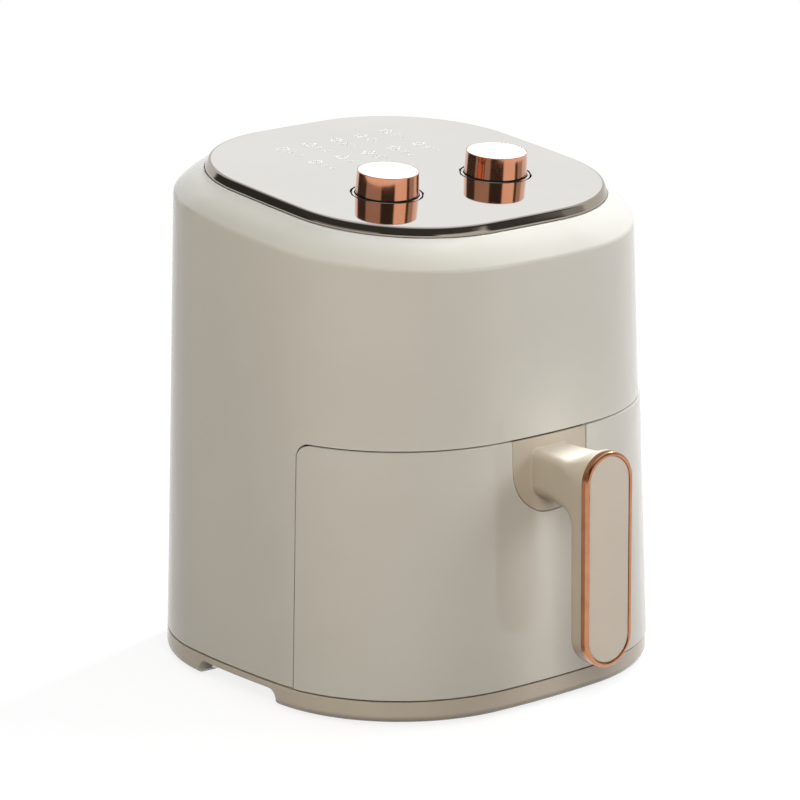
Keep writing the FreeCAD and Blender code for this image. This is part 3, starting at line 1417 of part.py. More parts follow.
bracket = box(
    "bracket_block",
    (-size.bracket_width / 2, rim_front, size.bracket_low),
    (size.bracket_width, size.rim_width, size.bracket_high - size.bracket_low),
)
bore_radius = size.screw_radius + size.screw_gap
bracket_bores = [
    cylinder(f"bracket_bore_{index}", bore_radius, size.pan_front, (x, -size.pan_front / 2, z), "-Y")
    for index, (x, z) in enumerate(pan_screw_places, start=1)
]
node(cut("bracket_cut", bracket, group("bracket_bores", bracket_bores)), "pan_bracket")

post_heights = (size.post_low, size.post_high)
post_places = [(side * size.post_spread, height) for side in (-1, 1) for height in post_heights]
body = new_body("drawer_backing")
backing = sketch_on(body, "backing_plate", "XZ_Plane", -rim_front)
rounded_rectangle(
    backing,
    -size.backing_width / 2,
    size.backing_width / 2,
    size.backing_bottom,
    size.backing_top,
    size.backing_corner,
)
pad(body, backing, size.backing_gauge)
backing_holes = sketch_on(body, "backing_holes", "XZ_Plane", -rim_front)
for x, z in post_places + pan_screw_places:
    circle(backing_holes, x, z, size.screw_radius + size.screw_gap)
pocket(body, backing_holes, both_ways=True)
node(body, "drawer_backing")

post_screw_length = size.backing_gauge + size.post_radius
post_seats = [(x, rim_front, z) for x, z in post_places]
node(screws("front_screw", post_seats, post_screw_length, "-Y"), "front_screws")
pan_screw_seats = [(x, size.pan_wall - size.pan_front, z) for x, z in pan_screw_places]
pan_screw_length = size.pan_wall + size.rim_width + size.backing_gauge
node(screws("pan_screw", pan_screw_seats, pan_screw_length, "-Y"), "pan_screws")

handle_screw_z = (size.arm_bottom + size.arm_top) / 2
handle_screw_x = size.grip_width / 4
handle_seat = half_depth(handle_screw_z) + size.drawer_proud - size.drawer_wall
handle_screw_seat = size.head_clear - handle_seat
handle_screw_length = size.drawer_wall + size.arm_fillet
handle_screw_places = [(side * handle_screw_x, handle_screw_z) for side in (-1, 1)]


def make_drawer_front():
    proud = float(size.drawer_proud)
    wall = float(size.drawer_wall)
    outside = wall_form(proud)
    inside = wall_form(proud - wall)
    region = drawer_prism(
        -float(size.drawer_rear), float(size.seam_height), float(size.drawer_top), float(size.drawer_corner)
    )
    front = outside.cut(inside).common(region)
    seat = wall_form(proud - float(size.root_inset))
    front = front.cut(root_prism(float(size.root_gap), float(WIDE)).cut(seat))
    posts = []
    forward = Vector(0, -1, 0)
    keep = wall_form(proud - wall / 2)
    for x, z in post_places:
        start = Vector(float(x), float(backing_front), float(z))
        posts.append(rod(size.post_radius, size.body_depth, start, forward).common(keep))
    front = front.fuse(posts)
    depth = float(size.post_radius + size.screw_gap)
    holes = [screw_hole(x, backing_front, z, depth, forward) for x, z in post_places]
    holes += [screw_hole(x, 0, z, float(WIDE), forward) for x, z in handle_screw_places]
    return front.cut(holes).removeSplitter()


moulding("drawer_front", make_drawer_front())


def make_handle():
    """Root plate, arm and grip in one moulding; the trim ring and face plate sit on its front."""
    proud = float(size.drawer_proud)
    seat = wall_form(proud - float(size.root_inset))
    cover = wall_form(proud - float(size.root_sink))
    high = float(size.drawer_top - size.root_top_gap)
    root = cover.cut(seat).common(root_prism(0.0, high))
    radius = float(grip_radius)
    low, top = float(size.grip_bottom), float(size.grip_top)
    back, front = float(grip_back), float(ring_back)
    arm_low, arm_high = float(size.arm_bottom), float(size.arm_top)
    bend = float(size.arm_fillet)
    inset = bend * (1 - math.sqrt(0.5))
    start = -float(size.body_depth) / 4
    side = -radius
    profile = [
        Part.LineSegment(Vector(side, start, arm_high), Vector(side, front, top)),
        Part.LineSegment(Vector(side, front, top), Vector(side, front, low)),
        Part.LineSegment(Vector(side, front, low), Vector(side, back, low)),
        Part.LineSegment(Vector(side, back, low), Vector(side, back, arm_low - bend)),
        Part.Arc(
            Vector(side, back, arm_low - bend),
            Vector(side, back + inset, arm_low - inset),
            Vector(side, back + bend, arm_low),
        ),
        Part.LineSegment(Vector(side, back + bend, arm_low), Vector(side, start, arm_low)),
        Part.LineSegment(Vector(side, start, arm_low), Vector(side, start, arm_high)),
    ]
    bar = Part.Face(Part.Wire([line.toShape() for line in profile])).extrude(Vector(2 * radius, 0, 0))
    ends = [
        Part.Arc(
            Vector(-radius, front, top - radius),
            Vector(0, front, top),
            Vector(radius, front, top - radius),
        ),
        Part.LineSegment(Vector(radius, front, top - radius), Vector(radius, front, low + radius)),
        Part.Arc(
            Vector(radius, front, low + radius),
            Vector(0, front, low),
            Vector(-radius, front, low + radius),
        ),
        Part.LineSegment(Vector(-radius, front, low + radius), Vector(-radius, front, top - radius)),
    ]
    slab_face = Part.Face(Part.Wire([line.toShape() for line in ends]))
    slab = slab_face.extrude(Vector(0, float(size.body_depth), 0))
    grip = bar.common(slab)
    rounded = []
    for line in grip.Edges:
        extent = line.BoundBox
        at_side = max(abs(extent.XMax), abs(extent.XMin)) > 0.99 * radius
        behind_ring = extent.YMin > front + 0.1 and extent.ZMax < arm_high - 0.1
        along_grip = extent.XLength < 0.01 and extent.YMax < start - 0.01
        across_grip = extent.XLength > 1.9 * radius
        if at_side and behind_ring and (along_grip or across_grip):
            rounded.append(line)
    grip = grip.makeFillet(float(size.grip_round), rounded).cut(seat)
    forward = Vector(0, -1, 0)
    holes = [
        screw_hole(x, 0, z, float(handle_seat + handle_screw_length), forward) for x, z in handle_screw_places
    ]
    return root.fuse(grip).cut(holes).removeSplitter()


moulding("handle_body", make_handle())
handle_screw_seats = [(x, handle_screw_seat, z) for x, z in handle_screw_places]
node(screws("handle_screw", handle_screw_seats, handle_screw_length, "-Y"), "handle_screws")

body = new_body("handle_trim")
ring_sketch = sketch_on(body, "ring_outline", "XZ_Plane", -ring_back)
stadium(ring_sketch, size.grip_bottom, size.grip_top, grip_radius)
pad(body, ring_sketch, size.trim_depth)
ring_hole = sketch_on(body, "ring_hole", "XZ_Plane", -ring_back)
stadium(
    ring_hole,
    size.grip_bottom + size.trim_border,
    size.grip_top - size.trim_border,
    grip_radius - size.trim_border,
)
pocket(body, ring_hole, both_ways=True)
node(body, "handle_trim")

body = new_body("handle_face")
face_inset = size.trim_border + size.face_gap
face_sketch = sketch_on(body, "face_outline", "XZ_Plane", -ring_back)
stadium(face_sketch, size.grip_bottom + face_inset, size.grip_top - face_inset, grip_radius - face_inset)
pad(body, face_sketch, size.trim_depth - size.face_sink)
node(body, "handle_face")

# Crisper tray: a perforated plate with a skirt that stands on the pan's floor.
body = new_body("crisper_tray")
tray_inset = size.pan_wall + size.tray_gap
tray_half = pan_half - tray_inset
tray_front = tray_inset - size.pan_front
tray_back = size.pan_rear - tray_inset
tray_corner = size.pan_corner - tray_inset
tray_low = pan_floor + size.tray_clear
tray_top = pan_floor + size.tray_height
tray_block = sketch_on(body, "tray_block", "XY_Plane", tray_low)
rounded_rectangle(tray_block, -tray_half, tray_half, tray_front, tray_back, tray_corner)
pad(body, tray_block, tray_top - tray_low)
tray_hollow = sketch_on(body, "tray_hollow", "XY_Plane", tray_low)
rounded_rectangle(
    tray_hollow,
    size.tray_gauge - tray_half,
    tray_half - size.tray_gauge,
    tray_front + size.tray_gauge,
    tray_back - size.tray_gauge,
    tray_corner - size.tray_gauge,
)
pocket(body, tray_hollow, tray_top - tray_low - size.tray_gauge, reverse=True)
tray_holes = sketch_on(body, "tray_holes", "XY_Plane", tray_top)
reach = float(tray_half - 3 * size.tray_hole) / float(size.tray_pitch)
tray_middle = (tray_front + tray_back) / 2
columns = int(reach)
for column in range(-columns, columns + 1):
    for row in range(-columns, columns + 1):
        if math.hypot(column, row) <= reach:
            circle(tray_holes, column * size.tray_pitch, tray_middle + row * size.tray_pitch, size.tray_hole)
pocket(body, tray_holes, 2 * size.tray_gauge)
node(body, "crisper_tray")

bumper_thick = size.tray_gap - size.bumper_clear
bumper_low = tray_top - size.bumper_height
half_bumper = size.bumper_length / 2
side_start = tray_middle - half_bumper
side_extent = (bumper_thick, size.bumper_length, size.bumper_height)
end_extent = (size.bumper_length, bumper_thick, size.bumper_height)
bumpers = [
    box("bumper_left", (-tray_half - bumper_thick, side_start, bumper_low), side_extent),
    box("bumper_right", (tray_half, side_start, bumper_low), side_extent),
    box("bumper_front", (-half_bumper, tray_front - bumper_thick, bumper_low), end_extent),
    box("bumper_rear", (-half_bumper, tray_back, bumper_low), end_extent),
]
node(group("bumper_group", bumpers), "tray_bumpers")

doc.recompute()
broken = [thing.Name for thing in doc.Objects if {"Invalid", "Error"} & set(thing.State)]
if broken:
    raise RuntimeError(f"failed: {broken}")
for piece in nodes:
    if piece.Shape.isNull() or not piece.Shape.isValid() or not piece.Shape.Solids:
        raise RuntimeError(f"{piece.Label} has no valid solid")

os.makedirs("parts", exist_ok=True)
for piece in nodes:
    piece.Shape.exportStep(os.path.join("parts", piece.Label + ".step"))
print(len(nodes), "pieces written")
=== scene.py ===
# %% [markdown]
# # A dial air fryer, dressed around its CAD frame
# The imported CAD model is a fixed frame: it says where every piece is and which body it moves with.
# In this lesson each outer piece gets the surface that the eye meets, with its seams, rounded edges
# and finishes, and every inner piece gets a material of its own. All lengths below are millimetres
# about the body's upright axis; one function turns them into metres in the shared frame.

# %% Load the frame
import json
import math

import bmesh
import bpy
import numpy as np
from mathutils import Matrix, Vector
from mathutils.geometry import delaunay_2d_cdt


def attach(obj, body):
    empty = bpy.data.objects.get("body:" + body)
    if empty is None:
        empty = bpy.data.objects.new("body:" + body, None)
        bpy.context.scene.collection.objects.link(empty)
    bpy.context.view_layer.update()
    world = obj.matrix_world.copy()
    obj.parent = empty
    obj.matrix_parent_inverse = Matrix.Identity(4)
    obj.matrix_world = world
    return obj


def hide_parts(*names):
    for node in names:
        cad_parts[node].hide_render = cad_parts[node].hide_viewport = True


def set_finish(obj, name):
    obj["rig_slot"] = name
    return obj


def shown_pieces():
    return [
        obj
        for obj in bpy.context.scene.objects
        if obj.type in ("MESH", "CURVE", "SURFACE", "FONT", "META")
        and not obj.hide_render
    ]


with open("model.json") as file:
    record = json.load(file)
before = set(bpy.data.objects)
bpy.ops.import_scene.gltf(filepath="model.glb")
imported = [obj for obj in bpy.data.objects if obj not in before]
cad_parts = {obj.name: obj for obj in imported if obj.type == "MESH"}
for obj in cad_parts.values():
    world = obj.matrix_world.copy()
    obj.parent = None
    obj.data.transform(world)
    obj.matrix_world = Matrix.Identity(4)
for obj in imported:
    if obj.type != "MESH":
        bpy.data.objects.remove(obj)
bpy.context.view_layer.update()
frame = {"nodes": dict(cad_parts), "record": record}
nodes = frame["nodes"]
AXIS_BACK = 24.3  # the body's axis stands this far behind the frame's origin, because of the handle


def to_frame(points):
    """Millimetres about the body's axis to metres in the frame: move back by AXIS_BACK, divide by 1000."""
    return (np.asarray(points, float) + (0.0, AXIS_BACK, 0.0)) * 0.001


# %% [markdown]
# ## The camera
# A long lens far away keeps verticals nearly parallel, as in a catalogue picture. The stand point, the
# point looked at and the small roll were fitted to the photo's outlines, so the render can be laid over it.

# %% Camera
STAND = Vector((-1.56569, -1.87351, 0.83011))
LOOK_AT = Vector((-0.00178, 0.02616, 0.15471))
ROLL = math.radians(-0.345)
SENSOR, LENS = 36.0, 193.25  # millimetres
camera_data = bpy.data.cameras.new("camera")
camera_data.sensor_width = SENSOR
camera_data.lens = LENS
camera_data.clip_end = 100.0
camera = bpy.data.objects.new("camera", camera_data)
bpy.context.scene.collection.objects.link(camera)
look = (STAND - LOOK_AT).to_track_quat("Z", "Y").to_matrix()
camera.matrix_world = Matrix.Translation(STAND) @ (look @ Matrix.Rotation(ROLL, 3, "Z")).to_4x4()
bpy.context.scene.camera = camera
print("camera", tuple(round(v, 3) for v in camera.location))

# %% [markdown]
# ## From arrays to pieces
# A surface is a grid of points, rows by columns, so its faces are the quads between neighbours. A piece
# may join several grids. Solidify gives it a wall, Bevel rounds its edges, Booleans take openings out,
# and weighted normals keep the large faces calm beside the small rounded ones.

# %% Grids and pieces
def grid_quads(rows, columns, wrap=False):
    """Vertex numbers of the quads of a rows-by-columns grid; wrap joins the last column to the first."""
    index = np.arange(rows * columns).reshape(rows, columns)
    if wrap:
        index = np.hstack([index, index[:, :1]])
    corners = [index[:-1, :-1], index[:-1, 1:], index[1:, 1:], index[1:, :-1]]
    return np.stack(corners, -1).reshape(-1, 4)


def sheet(points, wrap=False, flip=False):
    """A grid of points as (points, faces); its faces look along columns cross rows, or the other way."""
    faces = grid_quads(points.shape[0], points.shape[1], wrap)
    return points.reshape(-1, 3), (faces[:, ::-1] if flip else faces).tolist()


MERGE, MERGE_CUT = 2e-6, 5e-6  # metres: points of a new mesh, and of one that was cut open


def merge_close(mesh, reach):
    """Merges points nearer than reach, in metres, and takes out the faces that have no area left."""
    work = bmesh.new()
    work.from_mesh(mesh)
    bmesh.ops.remove_doubles(work, verts=work.verts, dist=reach)
    bmesh.ops.dissolve_degenerate(work, edges=work.edges, dist=reach / 20)
    work.to_mesh(mesh)
    work.free()


def new_object(name, parts):
    """Joins (points, faces) parts into one smooth-shaded object; points nearer than MERGE merge."""
    points, faces = [], []
    for part_points, part_faces in parts:
        start = sum(len(block) for block in points)
        points.append(to_frame(part_points))
        faces += [[corner + start for corner in face] for face in part_faces]
    mesh = bpy.data.meshes.new(name)
    mesh.from_pydata(np.concatenate(points).tolist(), [], faces)
    merge_close(mesh, MERGE)
    mesh.shade_smooth()
    piece = bpy.data.objects.new(name, mesh)
    bpy.context.scene.collection.objects.link(piece)
    return piece


def settle(piece):
    """Applies the piece's modifiers, so that its mesh is final."""
    seen = piece.evaluated_get(bpy.context.evaluated_depsgraph_get())
    mesh = bpy.data.meshes.new_from_object(seen)
    mesh.name = piece.name
    piece.modifiers.clear()
    piece.data = mesh


def finish_piece(piece, wall=0.0, edge=0.0, cutters=(), turn=40.0):
    """Gives a piece its wall, its rounded edges and its openings, in millimetres."""
    if wall:
        solid = piece.modifiers.new("wall", "SOLIDIFY")
        solid.thickness = wall * 0.001
        solid.offset = -1
        solid.use_even_offset = True
    if edge:
        bevel = piece.modifiers.new("edge", "BEVEL")
        bevel.width = edge * 0.001
        bevel.segments = 3
        bevel.limit_method = "ANGLE"
        bevel.angle_limit = math.radians(turn)
    for cutter in cutters:
        opening = piece.modifiers.new("opening", "BOOLEAN")
        opening.object = cutter
        opening.solver = "EXACT"
    settle(piece)
    for cutter in cutters:
        bpy.data.objects.remove(cutter)
    if cutters:
        merge_close(piece.data, MERGE_CUT)
    piece.data.set_sharp_from_angle(angle=math.radians(turn))
    calm = piece.modifiers.new("normals", "WEIGHTED_NORMAL")
    calm.keep_sharp = True
    settle(piece)
    print(piece.name, len(piece.data.vertices), "points")


def stands_for(piece, body, slot, *replaced):
    """The piece rides on a CAD body, takes a slot's finish and stands for CAD nodes."""
    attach(piece, body)
    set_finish(piece, slot)
    if replaced:
        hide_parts(*replaced)


# %% [markdown]
# ## The body's form
# Seen from above the body is a rounded square: four corner arcs of 98 mm joined by four sides that swell
# by about a millimetre. The walls lean inwards to the top, and the top edge lies on a plane that slopes
# five degrees down to the front. Straight lines between the plan at the floor and the plan on that plane
# give the whole wall, so one function of two parameters serves the shell, the drawer front and the base.

# %% Plan and wall
HALF_WIDTH, HALF_DEPTH, CORNER, SWELL = 130.0, 133.4, 97.9, 1.15
SEAM_Z, SHOULDER_Z, PANEL_Z = 16.6, 275.4, 295.6
SIDE_LEAN, FRONT_LEAN = math.tan(math.radians(1.53)), math.tan(math.radians(1.18))
TILT = math.radians(5.0)
BACK_MIDDLE, FRONT_MIDDLE = 2.5, 6.5  # plan parameters


def plan(half_x, half_y, radius, swell, u):
    """Closed plan curve of eight tangent arcs; u runs 0 to 8, one unit an arc, from the right side round
    the back, the left and the front. A side's radius follows from its swell past the corner arcs."""
    reach = radius + swell
    corner_x, corner_y = half_x - reach, half_y - reach
    side_x = (reach ** 2 + corner_y ** 2 - radius ** 2) / (2 * swell)
    side_y = (reach ** 2 + corner_x ** 2 - radius ** 2) / (2 * swell)
    side, end = half_x - side_x, half_y - side_y
    first = math.atan2(corner_y, corner_x - side)
    second = math.atan2(corner_y - end, corner_x)
    turns = [-first, first, second, math.pi - second, math.pi - first, math.pi + first, math.pi + second]
    turns = np.array(turns + [2 * math.pi - second, 2 * math.pi - first])
    centre_x = np.array([side, corner_x, 0, -corner_x, -side, -corner_x, 0, corner_x])
    centre_y = np.array([0, corner_y, end, corner_y, 0, -corner_y, -end, -corner_y])
    radii = np.array([side_x, radius, side_y, radius, side_x, radius, side_y, radius])
    arc = np.floor(u % 8).astype(int)
    angle = turns[arc] + (u % 8 - arc) * (turns[arc + 1] - turns[arc])
    return centre_x[arc] + radii[arc] * np.cos(angle), centre_y[arc] + radii[arc] * np.sin(angle)


def shoulder_edge(u, grow=0.0):
    """The wall's top edge: the plan at shoulder height, laid on the tilted plane."""
    rise = SHOULDER_Z - SEAM_Z
    half_x = HALF_WIDTH - rise * SIDE_LEAN + grow
    half_y = (HALF_DEPTH - rise * FRONT_LEAN + grow) / math.cos(TILT)
    x, y = plan(half_x, half_y, CORNER + grow, SWELL, u)
    return np.stack([x, y * math.cos(TILT), SHOULDER_Z + y * math.sin(TILT)], -1)


def wall(u, z, grow=0.0):
    """Point of the leaning wall at plan parameter u and height z, moved outwards by grow."""
    u, z = np.broadcast_arrays(np.asarray(u, float), np.asarray(z, float))
    half_x, half_y = HALF_WIDTH + SEAM_Z * SIDE_LEAN + grow, HALF_DEPTH + SEAM_Z * FRONT_LEAN + grow
    x, y = plan(half_x, half_y, CORNER + grow, SWELL, u)
    low = np.stack([x, y, 0 * x], -1)
    top = shoulder_edge(u, grow)
    return low + (top - low) * (z / top[..., 2])[..., None]


def front_parameter(x, z, grow=0.0):
    """Plan parameter of the front wall over a given x: Newton steps from the straight guess."""
    x, z = np.broadcast_arrays(np.asarray(x, float), np.asarray(z, float))
    u, step = FRONT_MIDDLE + x / 90.0, 1e-4
    for _ in range(8):
        miss = wall(u, z, grow)[..., 0] - x
        slope = (wall(u + step, z, grow)[..., 0] - wall(u - step, z, grow)[..., 0]) / (2 * step)
        u = u - miss / np.maximum(slope, 20.0)
    return u


def front_y(x, z, grow=0.0):
    """Depth of the front wall over a given x and z."""
    return wall(front_parameter(x, z, grow), z, grow)[..., 1]


def side_parameter(y, z, grow=0.0):
    """Plan parameter, counted past 5, where the left front corner has a given y: interpolated on the arc."""
    trial = np.linspace(4.6, 6.4, 400)
    rows = [np.interp(-level_y, -wall(trial, level_z, grow)[:, 1], trial) for level_y, level_z in zip(y, z)]
    return np.array(rows)


print("wall at the seam:", np.round(wall(np.array([0.5, FRONT_MIDDLE]), SEAM_Z), 2).tolist())

# %% [markdown]
# ## The shell
# The shell is one glossy moulding: leaning walls, a soft fillet of 5.5 mm, a sloping shoulder and a deck
# that carries the mirror panel. A sculpted block could be cut open for the drawer, but the cut would be
# faceted. Here the wall is two bands that share their edge: one all round above the drawer and one round
# the back only, whose front edge follows the drawer's rounded corner. The shoulder is crowned by a
# millimetre: a curve of second degree that leaves the fillet along its tangent.

# %% Shell surface
DRAWER_TOP, DRAWER_REAR, DRAWER_CORNER = 162.0, -53.5, 8.5
TOP_GAP, SIDE_GAP, SHELL_WALL = 0.8, 1.7, 2.5
BAND_COLUMNS, FRONT_COLUMNS = 200, 112


def rear_edge_y(z, rear, top, corner):
    """Upright rear edge of the drawer opening, which turns forward along a quarter circle at its top."""
    above = np.clip(z - (top - corner), 0.0, corner)
    return rear - (corner - np.sqrt(corner ** 2 - above ** 2))


def corner_levels(low, top, corner, rows, corner_rows):
    """Heights from low to top, even at first and then crowded so that they follow the rounded corner."""
    turn = np.linspace(0.0, math.pi / 2, corner_rows + 1)[1:]
    return np.concatenate([np.linspace(low, top - corner, rows), top - corner + corner * np.sin(turn)])


opening_top, opening_rear = DRAWER_TOP + TOP_GAP, DRAWER_REAR + SIDE_GAP
opening_corner = DRAWER_CORNER + TOP_GAP
levels = corner_levels(SEAM_Z, opening_top, opening_corner, 22, 14)
edge_u = side_parameter(rear_edge_y(levels, opening_rear, opening_top, opening_corner), levels)
spread = np.linspace(-1.0, 1.0, BAND_COLUMNS + 1)
rear_u = BACK_MIDDLE + (edge_u - BACK_MIDDLE)[:, None] * spread
rear_band = wall(rear_u, levels[:, None])

front_span = np.linspace(edge_u[-1], 2 * FRONT_MIDDLE - edge_u[-1], FRONT_COLUMNS + 1)
around = np.concatenate([rear_u[-1], front_span[1:-1]])
PANEL_HALF_X, PANEL_HALF_Y, PANEL_CORNER, PANEL_SWELL, PANEL_FORWARD = 104.9, 109.9, 79.8, 0.29, 2.9
PANEL_THICK, LEDGE, FILLET, CROWN = 5.5, 0.6, 5.5, 1.0
DECK_INSET, DECK_DROP = 4.2, 0.05
SEAT_GROOVE = (  # inset from the rim and drop below it: a small round, then a groove up to the deck
    (0.1, 0.12), (0.28, 0.5), (0.7, 0.75), (1.6, 0.75), (2.4, 0.3), (3.2, DECK_DROP),
)


def panel_plane(x, y, z):
    """Point of the panel's tilted frame: its origin is the panel's top on the axis, z is its normal."""
    sin, cos = math.sin(TILT), math.cos(TILT)
    x, y, z = np.broadcast_arrays(x, y, z)
    return np.stack([x, y * cos - z * sin, PANEL_Z + y * sin + z * cos], -1)


def panel_outline(u, inset):
    """Plan curve of the panel's seat in the panel's own x and y, inset from the shoulder's rim."""
    sizes = [size + LEDGE - inset for size in (PANEL_HALF_X, PANEL_HALF_Y, PANEL_CORNER)]
    x, y = plan(*sizes, PANEL_SWELL, u)
    return np.stack([x, y - PANEL_FORWARD], -1)


def seat_ring(u, inset, z):
    """The seat's plan curve at a height in the panel's frame."""
    outline = panel_outline(u, inset)
    return panel_plane(outline[..., 0], outline[..., 1], z)


start = wall(around, opening_top)
edge = shoulder_edge(around)
rim = seat_ring(around, 0.0, -PANEL_THICK)
up = (edge - start) / np.linalg.norm(edge - start, axis=-1, keepdims=True)
reach = np.linalg.norm(rim - edge, axis=-1, keepdims=True)
inward = (rim - edge) / reach
raised = up - (up * inward).sum(-1, keepdims=True) * inward
inward = inward + raised / np.linalg.norm(raised, axis=-1, keepdims=True) * 4 * CROWN / reach
inward /= np.linalg.norm(inward, axis=-1, keepdims=True)
across = inward - (inward * up).sum(-1, keepdims=True) * up
across /= np.linalg.norm(across, axis=-1, keepdims=True)
bend = np.arccos((inward * up).sum(-1))[:, None]
tangent = FILLET * np.tan(bend / 2)
fillet_start, fillet_end = edge - up * tangent, edge + inward * tangent
rows = [start + (fillet_start - start) * share for share in np.linspace(0.0, 1.0, 24)]
for share in np.linspace(0.0, 1.0, 13)[1:]:
    rows.append(fillet_start + FILLET * (np.sin(bend * share) * up + (1 - np.cos(bend * share)) * across))
half_way = fillet_end + inward * np.linalg.norm(rim - fillet_end, axis=-1, keepdims=True) / 2
for share in (0.15, 0.3, 0.45, 0.6, 0.75, 0.9, 0.97):
    rows.append((1 - share) ** 2 * fillet_end + 2 * share * (1 - share) * half_way + share ** 2 * rim)
for inset, drop in SEAT_GROOVE + ((DECK_INSET, DECK_DROP),):
    rows.append(seat_ring(around, inset, -PANEL_THICK - drop))
upper_band = np.stack(rows)
print("shell bands", rear_band.shape, upper_band.shape)

# %% [markdown]
# The deck under the panel shows only as a ring around each knob, but its spindle holes are real. A flat
# area with holes is triangulated from its outlines, which a grid can't do.

# %% Deck and shell piece
KNOB_X, KNOB_Y, SPINDLE_HOLE = 41.0, -35.3, 5.0


def circle_points(x, y, radius, count):
    turn = np.linspace(0.0, 2 * math.pi, count, endpoint=False)
    return np.stack([x + radius * np.cos(turn), y + radius * np.sin(turn)], -1)


def flat_face(outlines, z):
    """Triangles of a flat area in the panel's frame: the first closed outline, less the others as holes."""
    loops, start = [], 0
    for outline in outlines:
        loops.append([(start + i, start + (i + 1) % len(outline)) for i in range(len(outline))])
        start += len(outline)
    spots = [Vector(spot) for spot in np.concatenate(outlines)]
    edges = [pair for loop in loops for pair in loop]
    found = delaunay_2d_cdt(spots, edges, [], 2, 1e-9)
    flat = np.array([tuple(spot) for spot in found[0]])
    faces = [list(face) for face in found[2]]
    middles = np.array([flat[face].mean(0) for face in faces])
    keep = np.ones(len(faces), bool)
    for outline in outlines[1:]:
        centre, radius = outline.mean(0), np.linalg.norm(outline[0] - outline.mean(0))
        keep &= np.linalg.norm(middles - centre, axis=1) > radius * 0.98
    faces = [face for face, kept in zip(faces, keep) if kept]
    return panel_plane(flat[:, 0], flat[:, 1], z), faces


necks = [circle_points(side * KNOB_X, KNOB_Y, SPINDLE_HOLE, 48) for side in (-1, 1)]
deck = flat_face([panel_outline(around, DECK_INSET)] + necks, -PANEL_THICK - DECK_DROP)
shell = new_object("shell", [sheet(rear_band), sheet(upper_band, wrap=True), deck])
VENT_HALF, VENT_LOW, VENT_HIGH, VENT_FROM, VENT_DEEP = 45.2, 179.8, 232.2, 90.0, 70.0
corner_signs = np.array([(x, y, z) for z in (0, 1) for y in (0, 1) for x in (-1, 1)], float)
vent_corners = np.stack([
    corner_signs[:, 0] * VENT_HALF,
    VENT_FROM + corner_signs[:, 1] * VENT_DEEP,
    VENT_LOW + corner_signs[:, 2] * (VENT_HIGH - VENT_LOW),
], -1)
BOX_FACES = [[0, 2, 3, 1], [4, 5, 7, 6], [0, 1, 5, 4], [2, 6, 7, 3], [0, 4, 6, 2], [1, 3, 7, 5]]
vent_cutter = new_object("vent_cutter", [(vent_corners, BOX_FACES)])
finish_piece(shell, wall=SHELL_WALL, edge=0.7, cutters=[vent_cutter])
stands_for(shell, "housing", "body_cream", "outer_shell")

# %% [markdown]
# ## The base ring
# Under the shell runs a low ring with a rounded lower edge and a shallow arch at each side, where fingers
# go to lift the fryer. Its outline is the same wall; only its lower edge rises into the arches, so the
# ring is one closed profile carried round the plan: outside, rounding, underside, inside, floor. Towards
# the sides the ring is deep, so that an arch ends in a wall and not in a thin edge.

# %% Base ring
BASE_TOP, BASE_LOW, BASE_ROUND, BASE_WALL, FOOT_DEPTH = 15.3, 2.3, 5.0, 3.0, 14.0
ARCH_HALF, ARCH_MIDDLE, ARCH_TOP, ARCH_CORNER = 37.0, -1.0, 11.6, 7.0
ARCH_LEVEL, ARCH_ROUND, CORNER_SHARE, FAR_SIDE = 8.0, 0.8, 0.19, 60.0
DEEP_FROM, DEEP_OVER = 40.0, 40.0  # from this x on, and over this much of it, the ring grows deep
FLOOR_UNDER, FLOOR_TOP = 11.6, 13.0


def arch_edge(y):
    """Height of the ring's lower edge: BASE_LOW, rising over a quarter circle into the side arch."""
    out = np.abs(y - ARCH_MIDDLE)
    over = np.clip(out - (ARCH_HALF - ARCH_CORNER), 0.0, ARCH_CORNER)
    inside = ARCH_TOP - ARCH_CORNER + np.sqrt(ARCH_CORNER ** 2 - over ** 2)
    return np.where(out < ARCH_HALF, np.maximum(inside, BASE_LOW), BASE_LOW)


crowded = CORNER_SHARE * (1 - np.cos(np.linspace(0.02, math.pi / 2, 12)))
arch_y = ARCH_MIDDLE + ARCH_HALF * np.concatenate([
    -np.ones(1), crowded - 1, np.linspace(-0.8, 0.8, 15), 1 - crowded[::-1], np.ones(1),
])
trial_u = np.linspace(3.6, 5.4, 800)
left_arch_u = np.sort(np.interp(-arch_y, -wall(trial_u, ARCH_LEVEL)[:, 1], trial_u))
right_arch_u = np.sort((2 * BACK_MIDDLE - left_arch_u) % 8)
base_u = np.unique(np.round(np.concatenate([np.linspace(0, 8, 257)[:-1], left_arch_u, right_arch_u]) % 8, 6))
base_spots = wall(base_u, ARCH_LEVEL)
foot = np.where(np.abs(base_spots[:, 0]) > FAR_SIDE, arch_edge(base_spots[:, 1]), BASE_LOW)
lower_round = np.where(foot > BASE_LOW + 0.05, ARCH_ROUND, BASE_ROUND)


def inset_wall(z, inset):
    """The wall round the base at height z, moved inwards by an inset of its own in each column."""
    return wall(base_u, z) + (wall(base_u, z, -1.0) - wall(base_u, z)) * inset[:, None]


